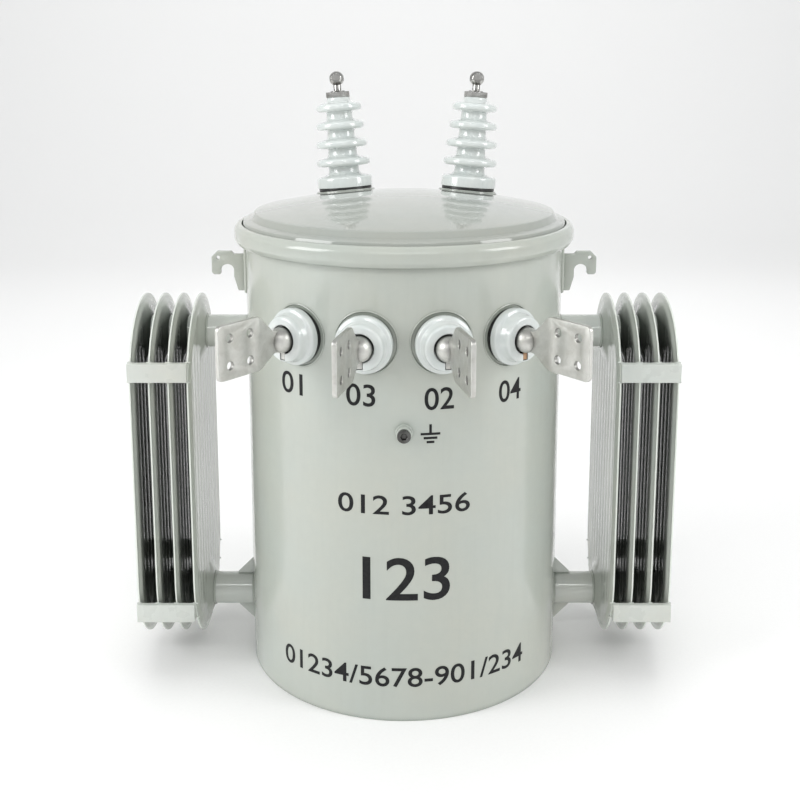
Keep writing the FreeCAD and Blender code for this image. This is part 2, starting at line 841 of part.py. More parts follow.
def make_lv_porcelain(name, azimuth):
    shoulder = "lv_gasket + lv_flange_height"
    insulator = spun([
        ("lv_bore", "-lv_shank"),
        ("lv_shank_radius", "-lv_shank"),
        ("lv_shank_radius", "lv_gasket"),
        ("lv_flange_radius", "lv_gasket"),
        ("lv_flange_radius", shoulder),
        ("lv_shoulder_radius", f"{shoulder} + lv_shoulder_height"),
        ("lv_nose_radius", "lv_front"),
        ("lv_socket_radius", "lv_front"),
        ("lv_socket_radius", "lv_front - lv_socket_depth"),
        ("lv_bore", "lv_front - lv_socket_depth"),
    ])
    slot = block("lv_key_slot", "lv_key_reach", "2 * lv_socket_depth")
    place(slot, ("0", "-lv_key_reach / 2", "lv_front"))
    keep(f"lv_porcelain_{name}", place_radial(cut(insulator, slot), azimuth, "lv_z"))


def make_lv_terminal(name, azimuth):
    """Stud, domed boss, key and four-hole spade, cast in one piece."""
    floor = "lv_front - lv_socket_depth"
    dome = "lv_front + lv_boss_rise"
    terminal = spun([
        ("0", "-lv_stud_depth"),
        ("lv_stud_radius", "-lv_stud_depth"),
        ("lv_stud_radius", floor),
        ("lv_boss_radius", floor),
        ("lv_boss_radius", dome, "0", dome, 1),
        ("0", f"{dome} + lv_boss_radius"),
    ])
    top = "spade_rise + spade_height / 2"
    top_corner = f"{top} - spade_corner"
    bottom = "spade_rise - spade_height / 2"
    bottom_corner = f"{bottom} + spade_corner"
    end = "spade_tip - spade_corner"
    upper = [
        ("spade_neck / 2", "spade_root"),
        ("spade_neck / 2", "spade_taper_start"),
        (top, "spade_full_width"),
        (top, end, top_corner, end, 1),
        (top_corner, "spade_tip"),
    ]
    lower = [
        (bottom_corner, "spade_tip", bottom_corner, end, 1),
        (bottom, end),
        (bottom, "spade_full_width"),
        ("-spade_neck / 2", "spade_taper_start"),
        ("-spade_neck / 2", "spade_root"),
    ]
    pad(terminal, draw_outline(terminal, "YZ_Plane", upper + lower), "spade_plate")
    key_end = "-(lv_key_reach - lv_key_play)"
    key_back = f"{floor} + lv_key_play / 2"
    key = draw_outline(terminal, "YZ_Plane", [
        (key_end, key_back),
        ("-lv_boss_radius / 2", key_back),
        ("-lv_boss_radius / 2", "lv_front - lv_key_play"),
        (key_end, "lv_front - lv_key_play"),
    ])
    pad(terminal, key, "lv_key")
    reach = "spade_pitch / 2"
    centres = [
        (f"spade_rise + {u} * {reach}", f"spade_centre + {v} * {reach}")
        for u in (-1, 1) for v in (-1, 1)
    ]
    drill(terminal, draw_circles(terminal, "YZ_Plane", centres, "spade_hole_radius"))
    keep(f"lv_terminal_{name}", place_radial(terminal, azimuth, "lv_z"))


def make_lv_bushings():
    gaskets = []
    nuts = []
    for name, azimuth in LV_AZIMUTHS.items():
        make_lv_porcelain(name, azimuth)
        make_lv_terminal(name, azimuth)
        gasket = ring("lv_shank_radius", "lv_gasket_radius", "-2 * lv_gasket", "lv_gasket")
        gaskets.append(cut(place_radial(gasket, azimuth, "lv_z"), drum()))
        nut = place(prism("lv_nut_radius", "lv_nut_height"), ("0", "0", "-lv_shank - lv_nut_height"))
        hole = place(cylinder("lv_stud_radius", "lv_stud_depth"), ("0", "0", "-lv_stud_depth"))
        nuts.append(place_radial(cut(nut, hole), azimuth, "lv_z"))
    keep("lv_gaskets", group(gaskets))
    keep("lv_inner_nuts", group(nuts))


# Radiators

def racetrack(inset):
    """A fin's outline: straight front and rear edges, round top and bottom."""
    half = f"(fin_depth / 2 - {inset})"
    low = "fin_low_z + fin_depth / 2"
    high = "fin_high_z - fin_depth / 2"
    return [
        (half, low),
        (half, high, "0", high, 1),
        (f"-{half}", high),
        (f"-{half}", low, "0", low, 1),
    ]


def make_fin(label, x):
    """A pressed panel: thin welded seam round a thicker oil channel, with two header necks."""
    fin = new_body()
    pad(fin, draw_outline(fin, "YZ_Plane", racetrack("0")), "fin_seam")
    pad(fin, draw_outline(fin, "YZ_Plane", racetrack("fin_edge")), "fin_thickness")
    centres = [("0", "header_low_z"), ("0", "header_high_z")]
    pad(fin, draw_circles(fin, "YZ_Plane", centres, "fin_neck_radius"), "fin_neck_thickness")
    drill(fin, draw_circles(fin, "YZ_Plane", centres, "header_radius"))
    keep(label, place(fin, (x, "0", "0")))


def make_header(label, side, height):
    """A pipe from the tank through the fins, closed at its outer end."""
    start = "tank_radius / 2"
    pipe = cylinder("header_radius", f"header_end_x - {start}")
    bore = cylinder("header_radius - header_wall", f"header_end_x - {start} - header_wall")
    place(pipe, ("0", "0", start))
    place(bore, ("0", "0", start))
    turned = place(cut(pipe, bore), ("0", "0", height), (("0; 1; 0", f"90 * {side}"),))
    keep(label, cut(turned, drum()))


def make_straps(label, side):
    """Flat-faced bars across the fins' front and rear edges, backed to the fins' rounded ends."""
    middle = f"{side} * (fin_first_x + strap_shift + fin_pitch * {FIN_COUNT - 1} / 2)"
    fin_space = plate("YZ_Plane", racetrack("0"), "2 * header_end_x")
    bars = []
    for level in ("strap_high_z", "strap_low_z"):
        for face in (-1, 1):
            bar = block("strap_length", "strap_depth", "strap_height")
            place(bar, (middle, f"{face} * (fin_depth / 2 + strap_sheet - strap_depth / 2)", level))
            bars.append(cut(bar, fin_space))
    keep(label, group(bars))


def make_gussets():
    """Triangular stiffeners above and below each lower header, at the tank wall."""
    near = "header_radius"
    outline = [
        ("tank_radius + gusset_snip", near),
        ("tank_radius + gusset_leg", near),
        ("tank_radius + gusset_leg", f"{near} + gusset_edge"),
        ("tank_radius + gusset_edge", f"{near} + gusset_leg"),
        ("tank_radius", f"{near} + gusset_leg"),
        ("tank_radius", f"{near} + gusset_snip"),
    ]
    plates = []
    for side in SIDES.values():
        for flip in (0, 180):
            item = plate("XZ_Plane", outline, "gusset_plate")
            turns = (("0; 0; 1", f"90 - 90 * {side}"), ("1; 0; 0", flip))
            plates.append(place(item, ("0", "0", "header_low_z"), turns))
    keep("header_gussets", group(plates))


def make_radiators():
    for name, side in SIDES.items():
        for index in range(FIN_COUNT):
            x = f"{side} * (fin_first_x + {index} * fin_pitch)"
            make_fin(f"radiator_fin_{name}_{index + 1}", x)
        for level in ("low", "high"):
            make_header(f"radiator_header_{name}_{level}", side, f"header_{level}_z")
        make_straps(f"radiator_straps_{name}", side)
    make_gussets()


# Core and coils

CORE_MIDDLE = "core_z + core_height / 2"


def make_core():
    stack = place(block("core_width", "core_depth", "core_height"), ("0", "0", CORE_MIDDLE))
    windows = []
    for side in SIDES.values():
        opening = block("window_width", "2 * core_depth", "core_height - 2 * core_yoke")
        x = f"{side} * (core_leg + window_width) / 2"
        windows.append(place(opening, (x, "0", CORE_MIDDLE)))
    keep("core", cut(stack, *windows))

    coils = {
        "lv_winding": ("lv_coil_width", "lv_coil_depth", "core_leg", "core_depth"),
        "hv_winding": ("hv_coil_width", "hv_coil_depth", "lv_coil_width", "lv_coil_depth"),
    }
    for label, (width, depth, inner_width, inner_depth) in coils.items():
        outer = place(block(width, depth, "coil_height"), ("0", "0", CORE_MIDDLE))
        inner = block(f"{inner_width} + 2 * coil_gap", f"{inner_depth} + 2 * coil_gap", "core_height")
        keep(label, cut(outer, place(inner, ("0", "0", CORE_MIDDLE))))


def make_core_clamps():
    bar_y = "(core_depth / 2 + clamp_bar_depth / 2)"
    bar_levels = ("core_z + core_yoke / 2", "core_z + core_height - core_yoke / 2")
    rod_low = f"{CORE_MIDDLE} - tie_rod_length / 2"
    corners = [(x, y) for x in (-1, 1) for y in (-1, 1)]
    rods = []
    for x, y in corners:
        position = (f"{x} * tie_rod_x", f"{y} * {bar_y}", rod_low)
        rods.append(place(cylinder("tie_rod_radius", "tie_rod_length"), position))
    pieces = []
    for level in bar_levels:
        for y in (-1, 1):
            bar = block("clamp_bar_length", "clamp_bar_depth", "clamp_bar_height")
            place(bar, ("0", f"{y} * {bar_y}", level))
            near_rods = [rod for rod, corner in zip(rods, corners) if corner[1] == y]
            pieces.append(cut(bar, *near_rods))
    for side in SIDES.values():
        foot = block("foot_width", "core_depth", "core_z - base_plate")
        pieces.append(place(foot, (f"{side} * foot_x", "0", "(core_z + base_plate) / 2")))
    keep("core_clamps", group(pieces))
    keep("tie_rods", group(rods))


def make_leads():
    """Conductors from the coils to the inner ends of the terminal studs."""
    start_z = f"{CORE_MIDDLE} + coil_height / 2 + lead_lift"
    lean_x = "hv_stud_depth * sin(hv_lean_out)"
    lean_y = "hv_stud_depth * sin(hv_lean_back)"
    hv_leads = []
    for side in SIDES.values():
        start = (f"{side} * hv_lead_x", "hv_lead_y", start_z)
        end_x = f"hv_pair_offset + {side} * (hv_x - {lean_x})"
        end = (end_x, f"hv_y - {lean_y}", "hv_z - hv_stud_depth - hv_lead_gap")
        hv_leads.append(rod_between(start, end, "hv_lead_radius"))
    keep("hv_leads", group(hv_leads))

    reach = "(tank_radius - lv_stud_depth - lv_lead_gap)"
    lv_leads = []
    for index, azimuth in enumerate(LV_AZIMUTHS.values()):
        start_x = f"({index} - {len(LV_AZIMUTHS) - 1} / 2) * lv_lead_pitch"
        end = (f"{reach} * sin({azimuth})", f"-{reach} * cos({azimuth})", "lv_z - lv_lead_drop")
        lv_leads.append(rod_between((start_x, "-lv_lead_y", start_z), end, "lv_lead_radius"))
    keep("lv_leads", group(lv_leads))


def check_and_export():
    document.recompute()
    faults = [item.Label for item in document.Objects if {"Invalid", "Error"} & set(item.State)]
    faults += [part.Label for part in subparts if part.Shape.isNull() or not part.Shape.isValid()]
    if faults:
        raise RuntimeError(f"these objects failed: {sorted(set(faults))}")
    os.makedirs("parts", exist_ok=True)
    for part in subparts:
        part.Shape.exportStep(f"parts/{part.Label}.step")
    print(len(subparts), "sub-parts")


make_tank()
make_cover()
make_band()
make_lifting_hooks()
make_hangers()
make_nameplate()
make_ground()
make_relief_valve()
make_hv_bushings()
make_lv_bushings()
make_radiators()
make_core()
make_core_clamps()
make_leads()
check_and_export()
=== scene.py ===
"""Looks of the overhead distribution transformer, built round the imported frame.

Metres, +Z up, the front with the low-voltage terminals facing -Y. Radial pieces are made lying flat
with +Z outwards, +Y up and +X round the tank; an azimuth is 0 at the front and grows towards +X.
"""

import json
import math

import bmesh
import bpy
from mathutils import Matrix, Vector, noise


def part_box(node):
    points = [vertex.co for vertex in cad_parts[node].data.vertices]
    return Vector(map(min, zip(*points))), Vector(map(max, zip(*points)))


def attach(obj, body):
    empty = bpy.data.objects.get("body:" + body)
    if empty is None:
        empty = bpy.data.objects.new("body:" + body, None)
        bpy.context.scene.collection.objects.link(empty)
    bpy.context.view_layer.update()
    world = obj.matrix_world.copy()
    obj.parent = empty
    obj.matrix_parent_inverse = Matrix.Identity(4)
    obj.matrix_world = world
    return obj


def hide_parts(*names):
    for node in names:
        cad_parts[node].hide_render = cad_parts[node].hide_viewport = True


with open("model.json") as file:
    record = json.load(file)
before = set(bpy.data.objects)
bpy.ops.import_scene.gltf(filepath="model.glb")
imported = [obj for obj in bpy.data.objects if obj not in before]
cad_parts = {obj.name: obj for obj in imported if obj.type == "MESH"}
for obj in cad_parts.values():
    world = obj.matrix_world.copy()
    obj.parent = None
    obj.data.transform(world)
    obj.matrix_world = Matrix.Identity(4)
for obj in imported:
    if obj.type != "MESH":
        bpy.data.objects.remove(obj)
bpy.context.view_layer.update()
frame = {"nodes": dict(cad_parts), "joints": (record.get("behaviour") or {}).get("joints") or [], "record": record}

MOUNTS = {mount["name"]: mount for mount in frame["record"]["mounts"]}
JOINTS = {joint["name"]: joint for joint in frame["joints"]}
SIDES = {"left": -1, "right": 1}
TANK = "tank"
TURN = 2 * math.pi
QUARTER = math.pi / 2
TINY = 1e-7

TANK_WALL = 0.0032
TANK_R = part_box("tank_base")[1].x + TANK_WALL
TANK_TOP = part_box("tank_shell")[1].z
RIM_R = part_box("tank_shell")[1].x
TANK_SEGMENTS = 288


# Outlines and meshes

# A rounded corner takes up at most this share of the sides that it joins
CORNER_SHARE = 0.49
FINE_STEP = math.radians(11)
COARSE_STEP = math.radians(14)


def filleted(corners, closed=True, step=FINE_STEP):
    """The points of an outline whose corners (u, v, radius) are rounded; no radius leaves one sharp."""
    points = []
    for index, corner in enumerate(corners):
        here = Vector(corner[:2])
        is_end = not closed and index in (0, len(corners) - 1)
        if len(corner) < 3 or is_end:
            points.append(here)
            continue
        before = Vector(corners[index - 1][:2]) - here
        after = Vector(corners[(index + 1) % len(corners)][:2]) - here
        half = before.angle(after) / 2
        reach = min(corner[2] / math.tan(half), CORNER_SHARE * min(before.length, after.length))
        radius = reach * math.tan(half)
        start = here + before.normalized() * reach
        end = here + after.normalized() * reach
        inward = (before.normalized() + after.normalized()).normalized()
        centre = here + inward * (radius / math.sin(half))
        spoke = start - centre
        sweep = math.copysign(math.pi - 2 * half, spoke.cross(end - centre))
        count = max(2, math.ceil(abs(sweep) / step))
        points += [centre + Matrix.Rotation(sweep * k / count, 2) @ spoke for k in range(count + 1)]
    return points


def circle(radius, count, centre=(0, 0), start=0.0):
    x, y = centre
    angles = [start + TURN * k / count for k in range(count)]
    return [Vector((x + radius * math.cos(a), y + radius * math.sin(a))) for a in angles]


def arc(centre, radius, first, last, count):
    angles = [math.radians(first + (last - first) * k / count) for k in range(count + 1)]
    return [(centre[0] + radius * math.cos(a), centre[1] + radius * math.sin(a)) for a in angles]


def rectangle(width, height, radius):
    x, y = width / 2, height / 2
    return filleted([(-x, -y, radius), (x, -y, radius), (x, y, radius), (-x, y, radius)])


def to_mesh(bm, name):
    bmesh.ops.recalc_face_normals(bm, faces=bm.faces)
    mesh = bpy.data.meshes.new(name)
    bm.to_mesh(mesh)
    bm.free()
    return mesh


def evaluated_mesh(item):
    """The final mesh of a scratch object, which is then removed."""
    bpy.context.view_layer.update()
    graph = bpy.context.evaluated_depsgraph_get()
    mesh = bpy.data.meshes.new_from_object(item.evaluated_get(graph))
    bpy.data.objects.remove(item)
    return mesh


def scratch(data, name="scratch"):
    item = bpy.data.objects.new(name, data)
    bpy.context.scene.collection.objects.link(item)
    return item


def tidied(mesh):
    """Merge coincident points and drop faces and edges that have no area or length."""
    bm = bmesh.new()
    bm.from_mesh(mesh)
    bmesh.ops.remove_doubles(bm, verts=bm.verts, dist=2e-6)
    bmesh.ops.dissolve_degenerate(bm, edges=bm.edges, dist=1e-6)
    bpy.data.meshes.remove(mesh)
    return to_mesh(bm, "tidied")


def lathe(profile, segments, start=0.0, sweep=TURN):
    """Spin a closed outline of (radius, height) points about Z. A part turn gets flat ends."""
    bm = bmesh.new()
    full = sweep > TURN - TINY
    columns = segments if full else segments + 1
    angles = [start + sweep * c / segments for c in range(columns)]
    spokes = [(math.cos(a), math.sin(a)) for a in angles]
    rows = []
    for radius, height in profile:
        if radius < TINY:
            rows.append([bm.verts.new((0, 0, height))] * columns)
        else:
            rows.append([bm.verts.new((radius * x, radius * y, height)) for x, y in spokes])
    for low, high in zip(rows, rows[1:] + rows[:1]):
        for c in range(segments):
            d = (c + 1) % columns
            corners = list(dict.fromkeys([low[c], low[d], high[d], high[c]]))
            if len(corners) > 2:
                bm.faces.new(corners)
    if not full:
        bm.faces.new([row[0] for row in rows])
        bm.faces.new([row[-1] for row in rows])
    return to_mesh(bm, "lathe")


def turned(corners, segments=96, step=FINE_STEP):
    """A lathe piece from the corners of its outline."""
    return lathe(filleted(corners, step=step), segments)


def plate(outline, thickness, bevel, holes=()):
    """A flat plate about the XY plane with rounded edges, and holes with rounded rims."""
    curve = bpy.data.curves.new("outline", "CURVE")
    curve.dimensions = "2D"
    curve.fill_mode = "BOTH"
    curve.extrude = thickness / 2 - bevel
    curve.bevel_depth = bevel
    curve.bevel_resolution = 2
    curve.offset = -bevel
    for loop in (outline, *holes):
        spline = curve.splines.new("POLY")
        spline.points.add(len(loop) - 1)
        for point, spot in zip(spline.points, loop):
            point.co = (spot[0], spot[1], 0, 1)
        spline.use_cyclic_u = True
    return tidied(evaluated_mesh(scratch(curve)))


def moved(mesh, matrix):
    mesh = mesh.copy()
    mesh.transform(matrix)
    if matrix.to_3x3().determinant() < 0:
        mesh.flip_normals()
    return mesh


def shift(x=0.0, y=0.0, z=0.0):
    return Matrix.Translation((x, y, z))


def joined(meshes):
    """One mesh from several."""
    bm = bmesh.new()
    for mesh in meshes:
        bm.from_mesh(mesh)
    return to_mesh(bm, "joined")


def stacked(*parts):
    """One mesh of parts (mesh, height) set along their common Z axis."""
    return joined([moved(mesh, shift(z=height)) for mesh, height in parts])


def combined(base, tool, operation):
    """Boolean of two closed meshes."""
    item = scratch(base)
    other = scratch(tool)
    modifier = item.modifiers.new("combine", "BOOLEAN")
    modifier.operation = operation
    modifier.solver = "EXACT"
    modifier.object = other
    mesh = evaluated_mesh(item)
    bpy.data.objects.remove(other)
    return tidied(mesh)


def wrapped(mesh, azimuth, height, step=0.004):
    """Bend a flat mesh round the tank: its X runs round the wall, its Y up and its Z outwards."""
    bm = bmesh.new()
    bm.from_mesh(mesh)
    low = min(v.co.x for v in bm.verts)
    high = max(v.co.x for v in bm.verts)
    for k in range(math.ceil(low / step), math.floor(high / step) + 1):
        everything = [*bm.verts, *bm.edges, *bm.faces]
        bmesh.ops.bisect_plane(bm, geom=everything, dist=1e-6,
                               plane_co=(k * step, 0, 0), plane_no=(1, 0, 0))
    for vert in bm.verts:
        angle = math.radians(azimuth) + vert.co.x / TANK_R
        reach = TANK_R + vert.co.z
        vert.co = (reach * math.sin(angle), -reach * math.cos(angle), height + vert.co.y)
    return to_mesh(bm, "wrapped")


def point_on_wall(azimuth, height, out=0.0):
    a = math.radians(azimuth)
    reach = TANK_R + out
    return Vector((reach * math.sin(a), -reach * math.cos(a), height))


def radial(azimuth, height, out=0.0):
    """Placement of a radial piece on the tank's wall, or this far out from it."""
    turn = Matrix.Rotation(math.radians(azimuth), 4, "Z") @ Matrix.Rotation(QUARTER, 4, "X")
    return Matrix.Translation(point_on_wall(azimuth, height, out)) @ turn


def upright(x=0.0, y=0.0, z=0.0):
    """Stand an XY outline up in the XZ plane, so that its Y becomes +Z."""
    return shift(x, y, z) @ Matrix.Rotation(QUARTER, 4, "X")


def across(x=0.0, y=0.0, z=0.0):
    """Stand an outline of (y, z) points up in the YZ plane, its thickness along X."""
    return Matrix(((0, 0, 1, x), (1, 0, 0, y), (0, 1, 0, z), (0, 0, 0, 1)))


def piece(name, mesh, material, replaces=(), body=TANK, sharp=35):
    """A finished piece of the object: shaded, given its material, and riding on its body."""
    mesh.name = name
    mesh.materials.clear()
    mesh.materials.append(material)
    mesh.shade_smooth()
    mesh.set_sharp_from_angle(angle=math.radians(sharp))
    item = scratch(mesh, name)
    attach(item, body)
    if replaces:
        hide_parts(*replaces)


# Weld beads

def seam(start, end, radius, reference=(1, 0, 0), sides=8, step=0.0016):
    """A straight weld bead; reference never runs along it."""
    start, end = Vector(start), Vector(end)
    count = max(2, round((end - start).length / step))
    path = [start.lerp(end, k / count) for k in range(count + 1)]
    return bead(path, radius, reference, sides=sides)


def bead(path, radius, reference, closed=False, sides=8, ripple=0.0042):
    """A rippled weld bead along closely spaced points; reference never runs along the path."""
    bm = bmesh.new()
    rings = []
    last = len(path) - 1
    travelled = 0.0
    for index, point in enumerate(path):
        before = path[index - 1] if closed or index > 0 else point
        after = path[(index + 1) % len(path)] if closed or index < last else point
        along = (after - before).normalized()
        side = along.cross(Vector(reference)).normalized()
        up = side.cross(along)
        travelled += (point - path[index - 1]).length if index else 0.0
        swell = 1 + 0.09 * math.cos(TURN * travelled / ripple) + 0.16 * noise.noise(point * 210)
        taper = 0.45 if not closed and index in (0, last) else 1.0
        size = radius * swell * taper
        rings.append([bm.verts.new(point + size * (u * side + v * up)) for u, v in circle(1, sides)])
    pairs = zip(rings, rings[1:] + rings[:1]) if closed else zip(rings, rings[1:])
    for first, second in pairs:
        for k in range(sides):
            n = (k + 1) % sides
            bm.faces.new((first[k], first[n], second[n], second[k]))
    if not closed:
        bm.faces.new(rings[0])
        bm.faces.new(rings[-1])
    return to_mesh(bm, "bead")


def ring_on_wall(azimuth, height, radius, out, count=180):
    """A circle drawn on the tank's wall."""
    return [point_on_wall(azimuth + math.degrees(math.asin(u / TANK_R)), height + v, out)
            for u, v in circle(radius, count)]


# Materials

# A Mix node's factor and its two colours, and its colour output
MIX_INPUTS = (0, 6, 7)
MIX_OUTPUT = 2


def fill(tree, node, **settings):
    """Give a node's inputs a value or a link, and its properties a value; _ stands for a space."""
    for key, value in settings.items():
        label = key.replace("_", " ")
        if label not in node.inputs:
            setattr(node, key, value)
        elif isinstance(value, bpy.types.NodeSocket):
            tree.links.new(value, node.inputs[label])
        else:
            node.inputs[label].default_value = value
    return node


def add(tree, kind, **settings):
    return fill(tree, tree.nodes.new(kind), **settings)


def speckle(tree, scale, detail, stretch=None, distortion=0.0):
    """A noise value over the object's own coordinates, in features per metre."""
    place = tree.nodes.get("Place") or add(tree, "ShaderNodeTexCoord", name="Place")
    spot = place.outputs["Object"]
    if stretch:
        spot = add(tree, "ShaderNodeMapping", Vector=spot, Scale=stretch).outputs["Vector"]
    texture = add(tree, "ShaderNodeTexNoise", Vector=spot, Scale=scale, Detail=detail, Roughness=0.55,
                  Distortion=distortion)
    return texture.outputs["Fac"]


def spread(tree, value, low, high, start, end):
    """Remap a value so that start to end becomes low to high."""
    node = add(tree, "ShaderNodeMapRange", Value=value, From_Min=start, From_Max=end, To_Min=low,
               To_Max=high)
    return node.outputs["Result"]


def clouds(tree, scale, detail, low=0.0, high=1.0, start=0.3, end=0.7, **pattern):
    """Noise patches of a given size, from low to high."""
    return spread(tree, speckle(tree, scale, detail, **pattern), low, high, start, end)


def painted_corner_shade(tree, reach, most, start, end):
    """Painted shade: the most darkening deep in a corner, and none in the open."""
    node = add(tree, "ShaderNodeAmbientOcclusion", Distance=reach, samples=6)
    return spread(tree, node.outputs["AO"], most, 0.0, start, end)


def blend(tree, factor, first, second):
    """Mix two colours; either one may be a colour or another node's output."""
    node = add(tree, "ShaderNodeMix", data_type="RGBA")
    for index, value in zip(MIX_INPUTS, (factor, first, second)):
        if isinstance(value, bpy.types.NodeSocket):
            tree.links.new(value, node.inputs[index])
        else:
            node.inputs[index].default_value = (*value, 1)
    return node.outputs[MIX_OUTPUT]


def relief(tree, *layers):
    """The normal after a chain of bump layers (height, strength, distance)."""
    below = {}
    for height, strength, distance in layers:
        node = add(tree, "ShaderNodeBump", Height=height, Strength=strength, Distance=distance, **below)
        below = {"Normal": node.outputs["Normal"]}
    return below["Normal"]


def scaled(colour, *factors):
    """A colour times one factor, or times a factor for each channel."""
    return tuple(c * f for c, f in zip(colour, factors if len(factors) == 3 else factors * 3))


def new_material(name, **settings):
    material = bpy.data.materials.new(name)
    material.use_nodes = True
    tree = material.node_tree
    return material, tree, fill(tree, tree.nodes["Principled BSDF"], **settings)


def enamel(name, colour, dusty, roughness, coat=0.35, reach=0.012, depth=0.5, inset=None):
    """Glossy enamel on steel: cloudy tint, painted shade in corners within reach, dust specks, orange peel.

    The inset range limits the painted shade to the part of a fin that lies that far in from its seam,
    and the seam itself gets a painted highlight, a lighter colour.
    """
    material, tree, shader = new_material(name, Coat_Weight=coat, Coat_Roughness=0.06, IOR=1.5)
    warm = scaled(colour, 1.025, 1.0, 0.965)
    cool = scaled(colour, 0.965, 0.99, 1.0)
    tint = blend(tree, clouds(tree, 5, 4), cool, warm)
    mottle = blend(tree, clouds(tree, 60, 5, 0.0, 0.35), tint, scaled(colour, 0.93))
    runs = clouds(tree, 9, 4, 0.0, 0.30, 0.5, 0.8, stretch=(9, 9, 0.7))
    streaked = blend(tree, runs, mottle, scaled(colour, 0.90))
    # Painted shade: the colour darkens in corners within reach, down to depth times the colour
    shade_amount = painted_corner_shade(tree, reach, 1.0, 0.2, 0.85)
    if inset:
        inner = add(tree, "ShaderNodeAttribute", attribute_name="inset").outputs["Fac"]
        both = add(tree, "ShaderNodeMath", operation="MULTIPLY")
        tree.links.new(spread(tree, inner, 0.0, 1.0, *inset), both.inputs[0])
        tree.links.new(shade_amount, both.inputs[1])
        shade_amount = both.outputs[0]
    with_painted_shade = blend(tree, shade_amount, streaked, scaled(scaled(colour, 0.90, 1.0, 0.90), depth))
    if inset:
        # Painted highlight: the colour is lighter along a fin's seam
        seam_highlight = spread(tree, inner, 0.9, 0.0, 0.003, 0.009)
        with_painted_shade = blend(tree, seam_highlight, with_painted_shade, scaled(colour, 1.45))
    specks = clouds(tree, 900, 2, 0.0, dusty, 0.66, 0.74)
    waves = (speckle(tree, 22, 2), 0.10, 0.002)
    peel = (speckle(tree, 240, 2), 0.05, 0.0006)
    fill(tree, shader, Base_Color=blend(tree, specks, with_painted_shade, (0.30, 0.29, 0.26)),
         Roughness=clouds(tree, 26, 5, roughness * 0.75, roughness * 1.35),
         Normal=relief(tree, waves, peel))
    return material


def glaze(name, colour):
    """Fired porcelain glaze: faint cloudiness, painted shade in corners, pinholes and a slow waviness."""
    material, tree, shader = new_material(name, Coat_Weight=0.6, Coat_Roughness=0.03, IOR=1.55)
    cloudy = blend(tree, clouds(tree, 38, 4), colour, scaled(colour, 0.94, 0.965, 0.975))
    # Painted shade: darker in corners, such as under the sheds
    with_painted_shade = blend(tree, painted_corner_shade(tree, 0.012, 0.5, 0.2, 0.9), cloudy, scaled(colour, 0.62))
    pins = clouds(tree, 1300, 1, 0.0, 0.5, 0.74, 0.78)
    fill(tree, shader, Base_Color=blend(tree, pins, with_painted_shade, (0.32, 0.30, 0.27)),
         Roughness=clouds(tree, 70, 3, 0.10, 0.20),
         Normal=relief(tree, (speckle(tree, 55, 2), 0.12, 0.001)))
    return material


def metal(name, colour, stain, roughness, grain, stretch=None, depth=0.12, reach=0.006):
    """Bare metal: stained tint, painted shade in corners, uneven polish, and a grain that may run one way."""
    material, tree, shader = new_material(name, Metallic=1.0)
    stains = clouds(tree, 45, 5, 0.0, 1.0, 0.35, 0.7, distortion=0.6)
    tint = blend(tree, stains, colour, stain)
    dents = (speckle(tree, 120, 3), depth * 0.6, 0.0006)
    scratches = (speckle(tree, grain, 3, stretch=stretch), depth, 0.0002)
    fill(tree, shader,
         # Painted shade: the colour darkens in corners within reach
         Base_Color=blend(tree, painted_corner_shade(tree, reach, 0.95, 0.3, 0.95), tint, scaled(stain, 0.12)),
         Roughness=clouds(tree, grain * 0.35, 4, roughness * 0.75, roughness * 1.3, stretch=stretch),
         Normal=relief(tree, dents, scratches))
    return material


def dull(name, colour, worn, roughness, grain, gloss=1.5):
    """A non-metal, matte surface: rubber, ink or the floor."""
    material, tree, shader = new_material(name, IOR=gloss)
    fill(tree, shader, Base_Color=blend(tree, clouds(tree, 180, 4, 0.0, 1.0, 0.4, 0.8), colour, worn),
         Roughness=clouds(tree, 320, 3, roughness * 0.8, roughness * 1.2),
         Normal=relief(tree, (speckle(tree, grain, 2), 0.15, 0.0003)))
    return material


def layered(name, colour, gap, pitch, axis, metallic):
    """Stacked sheets or turns of wire: fine lines across one axis."""
    material, tree, shader = new_material(name, Metallic=metallic)
    place = add(tree, "ShaderNodeTexCoord", name="Place")
    wave = add(tree, "ShaderNodeTexWave", Vector=place.outputs["Object"], Scale=TURN / pitch / 20,
               Distortion=0.4, Detail=2.0, wave_type="BANDS", bands_direction=axis)
    lines = wave.outputs["Fac"]
    stained = blend(tree, clouds(tree, 40, 4), colour, scaled(colour, 0.8))
    fill(tree, shader, Base_Color=blend(tree, spread(tree, lines, 0.0, 1.0, 0.1, 0.5), gap, stained),
         Roughness=clouds(tree, 90, 3, 0.35, 0.55),
         Normal=relief(tree, (lines, 0.5, 0.0008)))
    return material


PAINT = enamel("tank_enamel", (0.440, 0.465, 0.425), 0.35, 0.17)
# Painted shade: a darker copy of the tank's enamel, standing in for the dome's darker reflections
DARKENED_COVER_PAINT = enamel("cover_enamel_darkened", (0.355, 0.373, 0.345), 0.30, 0.045, coat=0.3)
# Fin enamel: strong painted shade deep between the fins, and a painted highlight along each seam
FIN_PAINT = enamel("fin_enamel", (0.50, 0.525, 0.485), 0.35, 0.20, reach=0.055, depth=0.15,
                   inset=(0.012, 0.040))
STRAP_PAINT = enamel("strap_enamel", (0.56, 0.585, 0.55), 0.25, 0.30)
# Painted light: a lighter copy of the tank's enamel, making up for the shade on the header pipes and gussets
LIGHTENED_PIPE_PAINT = enamel("pipe_enamel_lightened", (0.60, 0.625, 0.59), 0.25, 0.13, coat=0.6)
GLAZE = glaze("bushing_glaze", (0.64, 0.67, 0.65))
